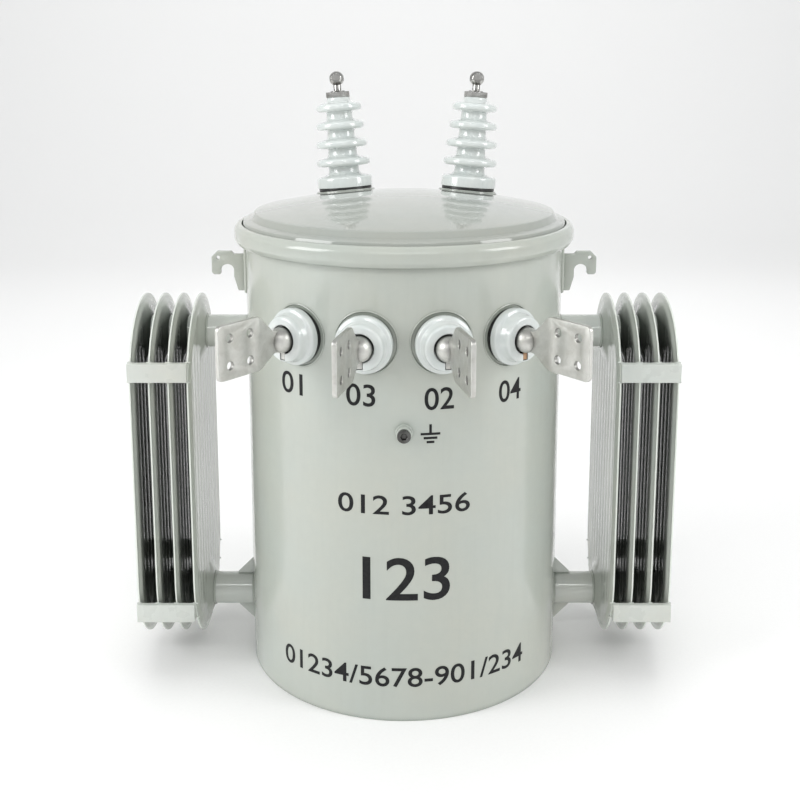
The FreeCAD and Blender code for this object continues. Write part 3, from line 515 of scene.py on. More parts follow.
# Cast terminal metal: its painted shade reaches round the boss and into the bolt holes
CAST = metal("cast_terminal", (0.66, 0.66, 0.63), (0.55, 0.545, 0.51), 0.43, 900, depth=0.07,
             reach=0.016)
BRIGHT = metal("bright_turned", (0.56, 0.56, 0.54), (0.38, 0.37, 0.35), 0.16, 1400, (1, 1, 12))
DARK_STEEL = metal("dark_screw", (0.15, 0.15, 0.145), (0.08, 0.08, 0.075), 0.20, 1200)
COPPER = metal("copper_key", (0.42, 0.27, 0.16), (0.24, 0.15, 0.10), 0.36, 700)
SPRING = metal("spring_wire", (0.55, 0.55, 0.55), (0.36, 0.35, 0.33), 0.3, 900)
LABEL_METAL = metal("brushed_label", (0.74, 0.74, 0.73), (0.60, 0.60, 0.585), 0.32, 1500,
                    (0.2, 0.2, 16))
CORE_STEEL = layered("core_sheets", (0.30, 0.31, 0.33), (0.05, 0.05, 0.055), 0.0012, "Y", 1.0)
WINDING = layered("coil_turns", (0.50, 0.25, 0.11), (0.10, 0.05, 0.02), 0.004, "Z", 0.6)
RUBBER = dull("gasket_black", (0.012, 0.012, 0.012), (0.035, 0.034, 0.032), 0.34, 700)
INK = dull("stencil_black", (0.010, 0.010, 0.011), (0.020, 0.020, 0.020), 0.55, 1100, gloss=1.3)
FLOOR = dull("pale_floor", (0.90, 0.90, 0.895), (0.875, 0.875, 0.87), 0.62, 60)


# Tank

def make_tank():
    flange_low = TANK_TOP - TANK_WALL
    inside = TANK_R - TANK_WALL
    shell = filleted([
        (inside, 0.0, 0.001), (TANK_R, 0.0, 0.0022), (TANK_R, flange_low, 0.002),
        (RIM_R, flange_low, 0.001), (RIM_R, TANK_TOP, 0.001), (inside, TANK_TOP, 0.0015),
    ])
    piece("tank_wall", lathe(shell, TANK_SEGMENTS), PAINT, ["tank_shell"])


# Cover: a domed lid with a stepped shoulder

DOME_R = 0.273
DOME_EDGE = 0.853
DOME_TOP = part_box("cover")[1].z
DOME_SPHERE = (DOME_R ** 2 + (DOME_TOP - DOME_EDGE) ** 2) / (2 * (DOME_TOP - DOME_EDGE))
DOME_CENTRE = Vector((0, 0, DOME_TOP - DOME_SPHERE))
COVER_SHEET = 0.003
COVER_RIM_LOW = TANK_TOP + 0.006


def dome_height(radius):
    return DOME_CENTRE.z + math.sqrt(DOME_SPHERE ** 2 - radius ** 2)


def make_cover():
    edge = 0.97 * DOME_R
    rows = 30
    ledge_r = 0.2925
    skirt_r = 0.296
    flange_top = COVER_RIM_LOW + COVER_SHEET
    dome = [(edge * k / rows, dome_height(edge * k / rows)) for k in range(rows + 1)]
    shoulder = filleted([
        dome[-1], (DOME_R, DOME_EDGE, 0.0045), (0.2800, 0.8412, 0.003), (ledge_r, 0.8384, 0.003),
        (skirt_r, 0.8280, 0.002), (skirt_r, flange_top, 0.001),
        (RIM_R, flange_top, 0.0012), (RIM_R, COVER_RIM_LOW, 0.0012),
        (skirt_r - COVER_SHEET, COVER_RIM_LOW, 0.001), (ledge_r, 0.8270, 0.002),
        (0.2790, 0.8385, 0.004), (DOME_R - COVER_SHEET, DOME_EDGE - COVER_SHEET),
    ], closed=False)
    below = [(r, z - COVER_SHEET) for r, z in reversed(dome[:-1])]
    profile = [*dome[:-1], *shoulder, *below]
    piece("cover_lid", lathe(profile, TANK_SEGMENTS), DARKENED_COVER_PAINT, ["cover"], sharp=50)


# Clamp band: a rolled hoop, split at the rear, drawn together by one bolt

def make_band():
    low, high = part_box("cover_band")
    outer = high.x
    middle = (low.z + high.z) / 2
    sheet = 0.0025
    skirt_r = TANK_R + 0.0012
    lip_r = 0.2964
    half_gap = 0.007
    gap = math.asin(half_gap / outer)
    profile = filleted([
        (skirt_r, low.z, 0.0010), (0.3045, low.z, 0.0055), (outer, middle - 0.0085, 0.010),
        (outer, middle + 0.0085, 0.010), (0.3035, high.z - 0.0006, 0.006), (lip_r, high.z, 0.0010),
        (lip_r, high.z - sheet, 0.0008), (0.3020, high.z - sheet - 0.001, 0.004),
        (outer - sheet, middle + 0.0075, 0.008), (outer - sheet, middle - 0.0075, 0.008),
        (0.3035, low.z + sheet, 0.004), (skirt_r, low.z + sheet, 0.0010),
    ])
    hoop = lathe(profile, TANK_SEGMENTS - 1, QUARTER + gap, TURN - 2 * gap)
    ear_reach = 0.028
    ear_height = 0.0255
    ear_x = 0.010
    ear_y = outer - sheet + ear_reach / 2
    ear = plate(rectangle(ear_reach, ear_height, 0.004), 0.006, 0.0009, [circle(0.0056, 24)])
    ears = [moved(ear, across(side * ear_x, ear_y, middle)) for side in (-1, 1)]
    piece("clamp_band", joined([hoop, *ears]), PAINT, ["cover_band"])

    thread_r = 0.005
    hexagon = circle(0.009, 6, start=math.pi / 6)
    head = plate(hexagon, 0.005, 0.0006)
    nut = plate(hexagon, 0.008, 0.0007, [circle(thread_r, 24)])
    washer = plate(circle(0.0098, 40), 0.0012, 0.0003, [circle(0.0052, 24)])
    shank = turned([(0, -0.013), (thread_r, -0.013), (thread_r, 0.0385, 0.001), (0, 0.0385)], 24)
    bolt = stacked((head, -0.0168), (washer, -0.0137), (washer, 0.0137), (nut, 0.0184), (shank, 0.0))
    along = shift(0, outer + ear_reach / 2, middle) @ Matrix.Rotation(QUARTER, 4, "Y")
    piece("band_bolt", moved(bolt, along), BRIGHT, ["cover_band_bolt"])


# Lifting hooks, pole hangers, nameplate

PAD_SHEET = 0.0045
PAD_WIDTH = 0.056


def make_hooks():
    root = TANK_R + PAD_SHEET
    weld_y = 0.0055
    weld_gap = 0.006
    pad_low, pad_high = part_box("lifting_pads")
    low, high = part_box("lifting_hook_right")
    throat_x, throat_z, throat = 0.327, 0.739, 0.012
    beak_z = 0.7315
    tip = high.x
    snip = 0.0105
    outline = filleted([
        (root, low.z, 0.001), (root + 0.013, low.z, 0.003),
        (throat_x - throat, throat_z - throat, 0.010),
    ], closed=False)
    outline += arc((throat_x, throat_z), throat, 180, 0, 16)
    outline += filleted([
        (throat_x + throat, throat_z), (throat_x + throat, beak_z, 0.0055), (tip, beak_z, 0.0065),
        (tip, high.z - snip, 0.004), (tip - snip, high.z, 0.004), (0.320, high.z, 0.002),
        (0.315, high.z - 0.005, 0.002), (root, high.z - 0.005),
    ], closed=False)
    eye = circle(0.0036, 28, (tip - 0.012, high.z - 0.012))
    hook = moved(plate(outline, 0.010, 0.0011, [eye]), upright())
    pad = plate(rectangle(PAD_WIDTH, pad_high.z - pad_low.z, 0.005), PAD_SHEET, 0.0012)
    pad = moved(pad, shift(z=PAD_SHEET / 2))
    pads = []
    welds = []
    for name, side in SIDES.items():
        shape = hook if side > 0 else moved(hook, Matrix.Rotation(math.pi, 4, "Z"))
        piece(f"hook_{name}", shape, PAINT, [f"lifting_hook_{name}"])
        pads.append(wrapped(pad, 90 * side, (pad_low.z + pad_high.z) / 2))
        half = math.degrees(PAD_WIDTH / 2 / TANK_R)
        for edge in (-half, half):
            start = point_on_wall(90 * side + edge, pad_low.z, 0.0008)
            end = point_on_wall(90 * side + edge, pad_high.z - weld_gap, 0.0008)
            welds.append(seam(start, end, 0.0030, (end.x, end.y, 0)))
        for face in (-1, 1):
            x, y = side * root, face * weld_y
            welds.append(seam((x, y, low.z), (x, y, high.z - weld_gap), 0.0026))
    piece("hook_pads", joined(pads), PAINT, ["lifting_pads"])
    piece("hook_welds", joined(welds), PAINT)


def make_hangers():
    web = 0.008
    for level in ("lower", "upper"):
        low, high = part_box(f"hanger_{level}")
        middle = (low.z + high.z) / 2
        height = high.z - low.z
        width = high.x - low.x
        back = plate(rectangle(width, height, 0.004), web, 0.0014, [circle(0.0119, 40)])
        parts = [moved(back, upright(0, high.y - web / 2, middle))]
        leg_x = width / 2 - web / 2
        root_y = math.sqrt(TANK_R ** 2 - leg_x ** 2)
        near, far = root_y - 0.003, high.y - 0.004
        leg = plate(filleted([
            (near, low.z, 0.001), (far, low.z, 0.003), (far, high.z, 0.003), (near, high.z, 0.001),
        ]), web, 0.0012)
        welds = []
        for side in (-1, 1):
            parts.append(moved(leg, across(side * leg_x)))
            x = side * (width / 2 + 0.0004)
            y = math.sqrt(TANK_R ** 2 - x ** 2) + 0.0008
            welds.append(seam((x, y, low.z), (x, y, high.z), 0.0038))
            y = high.y - web
            welds.append(seam((x, y, low.z + 0.002), (x, y, high.z - 0.002), 0.0017))
        piece(f"pole_hanger_{level}", joined(parts), PAINT, [f"hanger_{level}"])
        piece(f"pole_hanger_{level}_welds", joined(welds), PAINT)


def make_nameplate():
    low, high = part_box("nameplate")
    centre = (low + high) / 2
    azimuth = math.degrees(math.atan2(centre.x, -centre.y))
    sheet = 0.0010
    film, edge = 0.0004, 0.0001
    corners = [(x, y) for x in (-0.054, 0.054) for y in (-0.034, 0.034)]
    holes = [circle(0.0016, 16, corner) for corner in corners]
    blank = moved(plate(rectangle(0.120, 0.080, 0.004), sheet, 0.0003, holes), shift(z=sheet / 2))
    border = plate(rectangle(0.098, 0.060, 0.002), film, edge, [rectangle(0.0955, 0.0575, 0.0015)])
    bar = plate(rectangle(0.090, 0.0009, 0.0004), film, edge)
    rows = [moved(bar, shift(0, 0.020 - 0.0135 * k, sheet)) for k in range(4)]
    lines = joined([moved(border, shift(z=sheet)), *rows])
    piece("blank_nameplate", wrapped(blank, azimuth, centre.z), LABEL_METAL,
          ["nameplate"])
    piece("nameplate_lines", wrapped(lines, azimuth, centre.z), INK)
    rivet = lathe([(0, 0), (0.0031, 0)] + arc((0, -0.0012), 0.0034, 20, 90, 6), 20)
    rivets = [moved(rivet, radial(azimuth + math.degrees(x / TANK_R), centre.z + y, sheet))
              for x, y in corners]
    piece("nameplate_rivets", joined(rivets), BRIGHT)


# Grounding boss, its screw, and the earth symbol

def make_ground():
    low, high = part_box("ground_boss")
    radius = (high.x - low.x) / 2
    height = (low.z + high.z) / 2
    face = -low.y - TANK_R
    bore = 0.0062
    back = -0.008
    spot = radial(0, height)
    boss = turned([(bore, back), (radius, back), (radius, face, 0.0026), (bore, face, 0.0006)], 64)
    piece("grounding_boss", moved(boss, spot), PAINT, ["ground_boss"])
    ring = [spot @ Vector((u, v, 0.0004)) for u, v in circle(radius, 60)]
    piece("grounding_boss_weld", bead(ring, 0.0022, (0, 1, 0), closed=True), PAINT)

    screw_low, screw_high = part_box("ground_screw")
    head_r = (screw_high.x - screw_low.x) / 2
    head_face = -screw_low.y - TANK_R
    shank_r = 0.006
    shank_end = face - 0.013
    socket = 0.0045
    rounding = 0.0009
    floor = head_face - socket + rounding
    collar = plate(circle(head_r, 64), socket, rounding, [circle(0.0058, 6)])
    rest = turned([
        (0, shank_end), (shank_r, shank_end, 0.001), (shank_r, face), (head_r, face, 0.0004),
        (head_r, floor, 0.0001), (0, floor),
    ], 64)
    screw = stacked((collar, head_face - socket / 2), (rest, 0.0))
    piece("ground_socket_screw", moved(screw, spot), DARK_STEEL,
          ["ground_screw"], body="ground_screw")

    film = 0.0003
    film_edge = 0.00005
    thick = 0.0040
    widths = (0.0330, 0.0230, 0.0130)
    bars = [(width, thick, -0.0070 * k) for k, width in enumerate(widths)]
    bars.append((0.0042, 0.0150, 0.0090))
    marks = [moved(plate(rectangle(width, tall, film), film, film_edge), shift(0, y, film / 2))
             for width, tall, y in bars]
    azimuth = math.degrees(0.044 / TANK_R)
    piece("earth_symbol", wrapped(joined(marks), azimuth, height - 0.003), INK)


# Placeholder digits stencilled on the wall

def make_digits(name, text, azimuth, height, tall, wide):
    """Digits of the given height and line width, wrapped on the wall as a thin film of paint."""
    film = 0.00012
    curve = bpy.data.curves.new(name, "FONT")
    curve.body = text
    curve.extrude = film
    curve.offset = 0.008
    curve.resolution_u = 6
    mesh = evaluated_mesh(scratch(curve))
    spots = [v.co for v in mesh.vertices]
    low_x, high_x = min(p.x for p in spots), max(p.x for p in spots)
    low_y, high_y = min(p.y for p in spots), max(p.y for p in spots)
    scale = Matrix.Diagonal((wide / (high_x - low_x), tall / (high_y - low_y), 1, 1))
    centre = shift(-(low_x + high_x) / 2, -(low_y + high_y) / 2, film)
    mesh = tidied(moved(mesh, scale @ centre))
    piece(name, wrapped(mesh, azimuth, height), INK, sharp=60)


# High-voltage bushings

HV_EYE = 0.2149
HV_SEAT = 0.0057
HV_TOP = HV_SEAT + 0.1732
HV_COLLAR_R = 0.054
HV_NECK_R = 0.030
HV_STUD_HOLE = 0.0076
SHEDS = 4
SHED_PITCH = 0.0352


def hv_spot(name):
    """A bushing's own frame: origin at the collar's top, +Z up the bushing, +X along the wire hole."""
    mount = MOUNTS[f"hv_wire_eye_{name}"]
    x = Vector(mount["axis"]).normalized()
    y = Vector(JOINTS[f"clamp_screw_{name}_turn_in"]["axis"]).normalized()
    z = x.cross(y).normalized()
    spot = Matrix((x, y, z)).transposed().to_4x4()
    spot.translation = Vector(mount["pos_m"]) - z * HV_EYE
    return spot


def hv_porcelain():
    """A flange, a stem that gets thinner, and sheds with flat undersides and sloping tops."""
    bore, foot, foot_r = 0.009, -0.070, 0.028
    flange_r, flange_top = 0.0531, HV_SEAT + 0.0204
    corners = [
        (bore, foot), (foot_r, foot, 0.003), (foot_r, HV_SEAT), (flange_r, HV_SEAT, 0.0016),
        (flange_r, flange_top, 0.0050), (HV_NECK_R, flange_top + 0.0050, 0.0080),
    ]
    for shed in range(SHEDS):
        middle = HV_SEAT + 0.0479 + SHED_PITCH * shed
        stem = 0.0290 - 0.0015 * shed
        rim = 0.0522 - 0.0028 * shed
        corners += [
            (stem, middle - 0.0085, 0.0040), (rim, middle - 0.0060, 0.0056),
            (rim - 0.0005, middle + 0.0062, 0.0060), (stem - 0.0005, middle + 0.0118, 0.0060),
        ]
    corners += [(0.0218, HV_TOP, 0.0012), (bore, HV_TOP)]
    return turned(corners, step=COARSE_STEP)


def make_hv_bushings():
    porcelain = hv_porcelain()
    gasket = turned([
        (HV_NECK_R, 0.0), (0.0508, 0.0, 0.0018), (0.0512, HV_SEAT, 0.0018), (HV_NECK_R, HV_SEAT),
    ])
    collar_low = -0.018
    collar = turned([
        (HV_NECK_R, collar_low), (HV_COLLAR_R, collar_low), (HV_COLLAR_R, 0.0, 0.0016),
        (HV_NECK_R, 0.0, 0.0008),
    ])
    stud_hole = [circle(HV_STUD_HOLE, 32)]
    cap = plate(circle(0.024, 8, start=TURN / 16), 0.0105, 0.0010, stud_hole)
    washer = plate(circle(0.0140, 48), 0.0018, 0.0005, stud_hole)
    top = stacked((cap, HV_TOP + 0.00525), (washer, HV_TOP + 0.0114))
    screw_r, screw_tip, screw_end = 0.0044, 0.0056, 0.0215
    shank = turned([
        (0, screw_tip), (screw_r, screw_tip, 0.0012), (screw_r, screw_end), (0, screw_end),
    ], 32)
    head = plate(circle(0.0100, 6), 0.0070, 0.0011)
    rim = plate(circle(0.0086, 48), 0.0012, 0.0004)
    screw = moved(stacked((shank, 0.0), (head, 0.0240), (rim, 0.0277)), upright(z=HV_EYE))
    welds = []
    for name in SIDES:
        spot = hv_spot(name)
        piece(f"bushing_porcelain_{name}", moved(porcelain, spot), GLAZE,
              [f"hv_porcelain_{name}"])
        piece(f"bushing_gasket_{name}", moved(gasket, spot), RUBBER, ["hv_gaskets"])
        piece(f"bushing_collar_{name}", moved(collar, spot), PAINT, ["hv_collars"])
        piece(f"bushing_cap_{name}", moved(top, spot), BRIGHT, ["hv_caps"])
        piece(f"wire_clamp_{name}", moved(screw, spot), BRIGHT,
              [f"hv_clamp_screw_{name}"], body=f"clamp_screw_{name}")
        welds.append(bead(collar_line(spot), 0.0026, (0, 0, 1), closed=True))
    piece("bushing_collar_welds", joined(welds), DARKENED_COVER_PAINT)


def collar_line(spot, above=0.06, count=150):
    """Where a collar's outer face meets the dome, found by looking down from above the collar."""
    down = -(spot.to_3x3() @ Vector((0, 0, 1)))
    line = []
    for u, v in circle(HV_COLLAR_R, count):
        start = spot @ Vector((u, v, above))
        offset = start - DOME_CENTRE
        along = offset.dot(down)
        reach = -along - math.sqrt(along ** 2 - offset.length_squared + DOME_SPHERE ** 2)
        line.append(start + down * reach)
    return line


# Low-voltage bushings and their spade terminals

LV_SEAT = 0.005
LV_FRONT = 0.040
LV_FLOOR = 0.030
LV_NECK_R = 0.025
SPADE_RISE = 0.0048
SPADE_HALF = 0.04475
SPADE_TIP = 0.1868
BOLT_SPACING = 0.04445
BOLT_HOLE = 0.00715
BOLT_CENTRE = 0.1392


def lv_porcelain():
    """Stepped body with a round socket, and a slot for the terminal's key at the bottom."""
    bore, back, socket, flange = 0.0105, -0.028, 0.0238, 0.0485
    body = turned([
        (bore, back), (LV_NECK_R, back, 0.003), (LV_NECK_R, LV_SEAT), (flange, LV_SEAT, 0.0022),
        (flange, 0.0178, 0.0042), (0.0420, 0.0205, 0.0035), (0.0392, 0.0300, 0.006),
        (0.0380, LV_FRONT, 0.0046), (socket, LV_FRONT, 0.0018), (socket, LV_FLOOR), (bore, LV_FLOOR),
    ], step=COARSE_STEP)
    slot = plate(rectangle(0.011, 0.035, 0.0004), 0.020, 0.0004)
    return combined(body, moved(slot, shift(0, -0.0175, LV_FRONT)), "DIFFERENCE")


def spade_outline():
    """Outline in (up, outward): a neck that widens to the pad, whose corners are rounded."""
    top = SPADE_RISE + SPADE_HALF
    bottom = SPADE_RISE - SPADE_HALF
    neck, root, flare, pad = 0.018, 0.046, 0.062, 0.096
    return filleted([
        (neck, root), (neck, flare, 0.012), (top, pad, 0.012), (top, SPADE_TIP, 0.0085),
        (bottom, SPADE_TIP, 0.0085), (bottom, pad, 0.012), (-neck, flare, 0.012), (-neck, root),
    ])


def lv_terminal():
    """Domed boss and four-hole pad, cast in one piece."""
    boss_r, stem_r = 0.0215, 0.010
    back = -0.060
    seat = LV_FLOOR + 0.0002
    boss = lathe([
        (0, back), (stem_r - 0.0005, back), (stem_r, back + 0.0005), (stem_r, seat),
        (boss_r - 0.001, seat), (boss_r, seat + 0.001), *arc((0, LV_FRONT + 0.002), boss_r, 0, 90, 20),
    ], 72)
    half = BOLT_SPACING / 2
    holes = [circle(BOLT_HOLE, 36, (SPADE_RISE + u * half, BOLT_CENTRE + v * half))
             for u in (-1, 1) for v in (-1, 1)]
    blade = plate(spade_outline(), 0.008, 0.0013, holes)
    return combined(boss, moved(blade, across()), "UNION")


def make_lv_bushings():
    porcelain = lv_porcelain()
    terminal = lv_terminal()
    back = -0.009
    gasket = turned([
        (LV_NECK_R, back), (0.0460, back), (0.0464, LV_SEAT, 0.0014), (LV_NECK_R, LV_SEAT),
    ])
    key = moved(plate(rectangle(0.009, 0.0250, 0.0006), 0.0085, 0.0006),
                shift(0, -0.0215, LV_FLOOR + 0.0048))
    rims = []
    for number in "1234":
        mount = MOUNTS[f"lv_spade_{number}"]
        azimuth = math.degrees(math.atan2(mount["pos_m"][0], -mount["pos_m"][1]))
        height = mount["pos_m"][2] - SPADE_RISE
        spot = radial(azimuth, height)
        piece(f"terminal_porcelain_{number}", moved(porcelain, spot), GLAZE,
              [f"lv_porcelain_{number}"])
        piece(f"terminal_gasket_{number}", moved(gasket, spot), RUBBER, ["lv_gaskets"])
        piece(f"terminal_spade_{number}", moved(terminal, spot), CAST,
              [f"lv_terminal_{number}"])
        finish = COPPER if number == "4" else CAST
        piece(f"terminal_key_{number}", moved(key, spot), finish)
        rims.append(bead(ring_on_wall(azimuth, height, 0.0525, 0.0002), 0.0016,
                         point_on_wall(azimuth, 0), closed=True, ripple=0.05))
    piece("terminal_rims", joined(rims), PAINT)
    return height


# Radiators

FIN_LOW, FIN_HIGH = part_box("radiator_fin_right_1")
FIN_HALF = (FIN_HIGH.y - FIN_LOW.y) / 2
FIN_TOP = FIN_HIGH.z - FIN_HALF
FIN_BOTTOM = FIN_LOW.z + FIN_HALF
FIN_COUNT = 4
# The middle of the first fin, and the distance to the next
FIN_FIRST = 0.382
FIN_PITCH = 0.034
HEADERS = {level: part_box(f"radiator_header_right_{level}") for level in ("low", "high")}
HEADER_Z = {level: (low.z + high.z) / 2 for level, (low, high) in HEADERS.items()}
HEADER_R = (HEADERS["low"][1].y - HEADERS["low"][0].y) / 2
HEADER_RING = circle(HEADER_R, 130)
HEADER_END = HEADERS["low"][1].x
HEADER_SHEET = 0.0032
# Half a fin's thickness at a header, where it meets the next one, and on the last fin's outside
NECK = 0.0155
LAST_NECK = 0.0066
NECK_RANGE = (HEADER_R - 0.004, HEADER_R + 0.034)
# The plain pressed-out ends of a panel
CROWN_REACH = 0.052
CROWN_SLOPE = 0.42
CROWN_FADE = 0.014
CROWN = 0.0006
SEAM_HALF = 0.0012
SEAM_WIDTH = 0.006
SLOPE_WIDTH = 0.011
PANEL_HALF = 0.005
FLUTE_DEPTH = 0.001
FLUTE_PITCH = 0.027
FLUTE_RANGE = (0.016, 0.026)


def eased(value, start, end):
    """0 below start and 1 above end, with a smooth rise between."""
    t = min(max((value - start) / (end - start), 0.0), 1.0)
    return t * t * (3 - 2 * t)


def nearest_level(z):
    """The height nearest to z on the straight middle of a fin, between its round ends."""
    return min(max(z, FIN_BOTTOM), FIN_TOP)


def seam_inset(y, z):
    """How far a point of a fin lies in from the seam."""
    return FIN_HALF - math.hypot(y, z - nearest_level(z))


def fin_half_thickness(y, z, neck):
    """Half the fin's thickness: flat seam, fluted panel, plain crowns at both ends, header necks."""
    inset = seam_inset(y, z)
    rise = eased(inset, SEAM_WIDTH, SEAM_WIDTH + SLOPE_WIDTH)
    slope = CROWN_SLOPE * abs(y)
    upper = eased(z - (HEADER_Z["high"] - CROWN_REACH) - slope, 0, CROWN_FADE)
    lower = eased((HEADER_Z["low"] + CROWN_REACH) - z - slope, 0, CROWN_FADE)
    crown = max(upper, lower)
    wave = 0.5 - 0.5 * math.cos(TURN * y / FLUTE_PITCH)
    flute = FLUTE_DEPTH * wave ** 3 * (1 - crown) * eased(inset, *FLUTE_RANGE)
    half = SEAM_HALF + rise * (PANEL_HALF - SEAM_HALF + CROWN * crown) - flute
    for height in HEADER_Z.values():
        cone = 1 - eased(math.hypot(y, z - height), *NECK_RANGE)
        half = max(half, half + (neck - half) * cone ** 1.6)
    return half


def fin_mesh(inner_neck, outer_neck):
    """Both pressed sheets of a fin, welded along the seam; local +X is away from the tank."""
    cap_rows, straight_rows, columns = 30, 36, 128
    rows = arc((0, FIN_TOP), FIN_HALF, 90, 0, cap_rows)[1:-1]
    rows += [(FIN_HALF, FIN_TOP + (FIN_BOTTOM - FIN_TOP) * k / straight_rows)
             for k in range(straight_rows + 1)]
    rows += arc((0, FIN_BOTTOM), FIN_HALF, 0, -90, cap_rows)[1:-1]
    even = [2 * c / columns - 1 for c in range(columns + 1)]
    # Columns lie a little closer together near the seam
    spots = [0.8 * t + 0.2 * math.sin(QUARTER * t) for t in even]
    bm = bmesh.new()
    inset = bm.verts.layers.float.new("inset")
    edge = {}
    for face, neck in ((-1, inner_neck), (1, outer_neck)):
        top_pole = bm.verts.new((face * SEAM_HALF, 0, FIN_HIGH.z))
        low_pole = bm.verts.new((face * SEAM_HALF, 0, FIN_LOW.z))
        grid = [
            [bm.verts.new((face * fin_half_thickness(width * s, z, neck), width * s, z)) for s in spots]
            for width, z in rows
        ]
        for upper, lower in zip(grid, grid[1:]):
            for c in range(columns):
                bm.faces.new((upper[c], upper[c + 1], lower[c + 1], lower[c]))
        for c in range(columns):
            bm.faces.new((top_pole, grid[0][c + 1], grid[0][c]))
            bm.faces.new((low_pole, grid[-1][c], grid[-1][c + 1]))
        left = [row[0] for row in grid]
        right = [row[-1] for row in grid]
        edge[face] = [top_pole, *right, low_pole, *reversed(left)]
    for vert in bm.verts:
        vert[inset] = seam_inset(vert.co.y, vert.co.z)
    ring = list(zip(edge[-1], edge[1]))
    for (a, b), (c, d) in zip(ring, ring[1:] + ring[:1]):
        bm.faces.new((a, b, d, c))
    return to_mesh(bm, "fin")


def racetrack_half(z):
    """Half the depth of the fins' outline at a height."""
    return math.sqrt(max(FIN_HALF ** 2 - (z - nearest_level(z)) ** 2, 0))


def make_straps(name, side):
    low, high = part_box(f"radiator_straps_{name}")
    face_y = high.y
    lip_y = face_y - 0.004
    half_height = 0.01675
    half_tack = 0.005
    middle_x = (low.x + high.x) / 2
    bars, tacks = [], []
    for z in (0.128, 0.5817):
        levels = [z - half_height + half_height * k / 6 for k in range(13)]
        bottom, top = levels[0], levels[-1]
        back = [(racetrack_half(level) - 0.0004, level) for level in reversed(levels)]
        outline = filleted([
            (lip_y, bottom), (face_y, bottom, 0.0012), (face_y, top, 0.0012), (lip_y, top),
        ], closed=False)
        bar = plate(outline + back, high.x - low.x, 0.0007)
        bars.append(moved(bar, across(middle_x)))
        bars.append(moved(bar, Matrix.Rotation(math.pi, 4, "Z") @ across(-middle_x)))
        for k in range(FIN_COUNT):
            x = side * (FIN_FIRST + FIN_PITCH * k)
            for edge in (bottom, top):
                for face in (-1, 1):
                    y = face * racetrack_half(edge)
                    start, end = (x - half_tack, y, edge), (x + half_tack, y, edge)
                    tacks.append(seam(start, end, 0.0016, (0, 0, 1), sides=6))
    piece(f"fin_straps_{name}", joined(bars), STRAP_PAINT, [f"radiator_straps_{name}"])
    piece(f"fin_strap_tacks_{name}", joined(tacks), STRAP_PAINT)


def header_mesh(side, height):
    """Pipe from inside the tank's wall to a rounded closed end."""
    start = 0.255
    bore = HEADER_R - HEADER_SHEET
    inner_end = HEADER_END - HEADER_SHEET
    pipe = turned([
        (bore, start), (HEADER_R, start), (HEADER_R, HEADER_END, 0.0030), (0, HEADER_END),
        (0, inner_end), (bore, inner_end, 0.002),
    ])
    return moved(pipe, shift(z=height) @ Matrix.Rotation(side * QUARTER, 4, "Y"))


def header_weld(side, height):
    """Where a header meets the round wall."""
    line = [Vector((side * math.sqrt(TANK_R ** 2 - u ** 2), u, height + v)) for u, v in HEADER_RING]
    return bead(line, 0.0034, (1, 0, 0), closed=True)


def make_gussets():
    leg, snip, lip, near = 0.032, 0.007, 0.003, HEADER_R
    face_y = 0.0030
    weld_r = 0.0018
    back, on_pipe = TANK_R - 0.001, near - 0.0005
    outline = filleted([
        (back, near + snip, 0.0005), (TANK_R + snip, on_pipe, 0.0005), (TANK_R + leg, on_pipe, 0.0006),
        (TANK_R + leg, near + lip, 0.0012), (TANK_R + lip, near + leg, 0.0012),
        (back, near + leg, 0.0006),
    ])
    gusset = moved(plate(outline, 0.005, 0.0008), upright())
    middle = HEADER_Z["low"]
    plates, welds = [], []
    for side in SIDES.values():
        wall_x = side * (TANK_R - 0.0002)
        near_x, far_x = side * (TANK_R + snip), side * (TANK_R + leg)
        for flip in (1, -1):
            plates.append(moved(gusset, shift(z=middle) @ Matrix.Diagonal((side, 1, flip, 1))))
            pipe_z, near_z, far_z = (middle + flip * (near + away) for away in (0, snip, leg))
            for y in (-face_y, face_y):
                welds.append(seam((wall_x, y, near_z), (wall_x, y, far_z), weld_r))
                welds.append(seam((near_x, y, pipe_z), (far_x, y, pipe_z), weld_r, (0, 0, 1)))
    piece("lower_header_gussets", joined(plates), LIGHTENED_PIPE_PAINT, ["header_gussets"])
    piece("gusset_welds", joined(welds), PAINT)


def make_radiators():
    inner = fin_mesh(NECK, NECK)
    last = fin_mesh(NECK, LAST_NECK)
    for name, side in SIDES.items():
        for index in range(1, FIN_COUNT + 1):
            low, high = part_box(f"radiator_fin_{name}_{index}")
            shape = last if index == FIN_COUNT else inner
            place = shift((low.x + high.x) / 2) @ Matrix.Diagonal((side, 1, 1, 1))
            piece(f"fin_{name}_{index}", moved(shape, place), FIN_PAINT,
                  [f"radiator_fin_{name}_{index}"], sharp=60)
        welds = []
        for level, height in HEADER_Z.items():
            piece(f"header_{name}_{level}", header_mesh(side, height), LIGHTENED_PIPE_PAINT,
                  [f"radiator_header_{name}_{level}"])
            welds.append(header_weld(side, height))
            x = side * (FIN_FIRST - NECK)
            ring = [Vector((x, u, height + v)) for u, v in HEADER_RING]
            welds.append(bead(ring, 0.0024, (1, 0, 0), closed=True))
        piece(f"header_welds_{name}", joined(welds), PAINT)
        make_straps(name, side)
    make_gussets()


# CAD nodes that stay as they are and only get a finish

STAYING = (
    (PAINT, ("tank_base",)),
    (RUBBER, ("cover_gasket",)),
    (SPRING, ("relief_valve_spring",)),
    (BRIGHT, ("relief_valve_body", "relief_valve_stem", "relief_pull_ring", "hv_terminal_left",
              "hv_terminal_right", "hv_lower_nuts", "lv_inner_nuts", "tie_rods")),
    (CORE_STEEL, ("core",)),
    (DARK_STEEL, ("core_clamps",)),
    (WINDING, ("hv_winding", "lv_winding")),
    (COPPER, ("hv_leads", "lv_leads")),
)


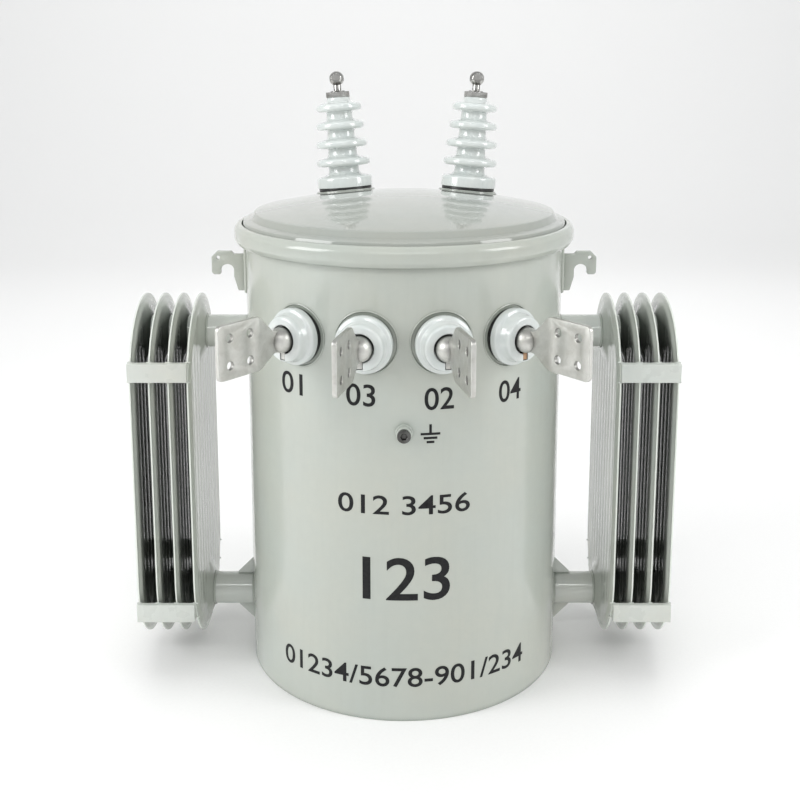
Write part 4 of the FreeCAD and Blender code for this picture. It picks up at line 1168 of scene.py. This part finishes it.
def finish_cad_nodes():
    for material, names in STAYING:
        for name in names:
            materials = frame["nodes"][name].data.materials
            materials.clear()
            materials.append(material)


# Floor, lights and camera

def make_stage():
    """A pale floor that curves up into a backdrop far behind."""
    half_width, bend = 40, 3
    profile = [(-half_width, 0), *arc((4, bend), bend, -90, 0, 24), (4 + bend, 9)]
    bm = bmesh.new()
    rows = [[bm.verts.new((x, y, z)) for x in (-half_width, half_width)] for y, z in profile]
    for first, second in zip(rows, rows[1:]):
        bm.faces.new((first[0], first[1], second[1], second[0]))
    mesh = to_mesh(bm, "floor")
    mesh.materials.append(FLOOR)
    mesh.shade_smooth()
    scratch(mesh, "floor")


def area_light(name, position, target, size, power, mirrored):
    """A rectangular light; one that isn't mirrored leaves no reflection of itself."""
    light = bpy.data.lights.new(name, "AREA")
    light.shape = "RECTANGLE"
    light.size, light.size_y = size
    light.energy = power
    item = scratch(light, name)
    item.location = position
    item.rotation_euler = (Vector(target) - Vector(position)).to_track_quat("-Z", "Y").to_euler()
    item.visible_glossy = mirrored


def make_lights():
    area_light("key_left", (-3.3, -1.5, 2.1), (0, 0, 0.55), (1.8, 2.6), 90, True)
    area_light("key_right", (3.3, -1.4, 2.1), (0, 0, 0.55), (1.5, 2.4), 62, True)
    area_light("front_strip", (0, -3.4, 3.1), (0, 0, 0.7), (3.0, 0.22), 26, True)
    area_light("top", (0, 0.3, 3.4), (0, 0, 0.8), (3.0, 2.4), 34, False)
    area_light("rear", (0.4, 3.4, 2.6), (0, 0, 0.8), (3.0, 1.6), 22, False)
    area_light("backdrop", (0, 2.6, 4.4), (0, 7.0, 2.2), (8.0, 1.2), 95, False)


def make_sky():
    """Soft surrounding light, brighter towards the horizon."""
    horizon = (0.80, 0.805, 0.81)
    zenith = (0.47, 0.475, 0.48)
    world = bpy.data.worlds.new("soft")
    world.use_nodes = True
    tree = world.node_tree
    place = add(tree, "ShaderNodeTexCoord")
    split = add(tree, "ShaderNodeSeparateXYZ", Vector=place.outputs["Generated"])
    height = spread(tree, split.outputs["Z"], 0.0, 1.0, 0.0, 0.55)
    fill(tree, tree.nodes["Background"], Color=blend(tree, height, horizon, zenith))
    bpy.context.scene.world = world


def make_camera():
    camera = bpy.data.cameras.new("camera")
    camera.lens = 52.79
    camera.sensor_width = 36
    camera.shift_x = -0.005
    camera.shift_y = -0.17
    item = scratch(camera, "camera")
    item.location = (0, -2.1398, 1.1463)
    item.rotation_euler = (math.radians(90 - 10.49), 0, 0)
    bpy.context.scene.camera = item
    bpy.context.scene.view_settings.view_transform = "Standard"


make_tank()
make_cover()
make_band()
make_hooks()
make_hangers()
make_nameplate()
make_ground()
make_hv_bushings()
lv_height = make_lv_bushings()
make_radiators()
finish_cad_nodes()

MARKS = (("01", -41.0, 0.086), ("03", -14.3, 0.089), ("02", 11.6, 0.094), ("04", 38.3, 0.096))
for mark, turn, drop in MARKS:
    make_digits(f"terminal_mark_{mark}", mark, turn, lv_height - drop, 0.038, 0.050)
make_digits("middle_digits", "012 3456", 0, 0.394, 0.034, 0.228)
make_digits("large_digits", "123", 0.8, 0.262, 0.078, 0.150)
make_digits("lower_digits", "01234/5678-901/234", 0, 0.082, 0.036, 0.475)

make_stage()
make_lights()
make_sky()
make_camera()
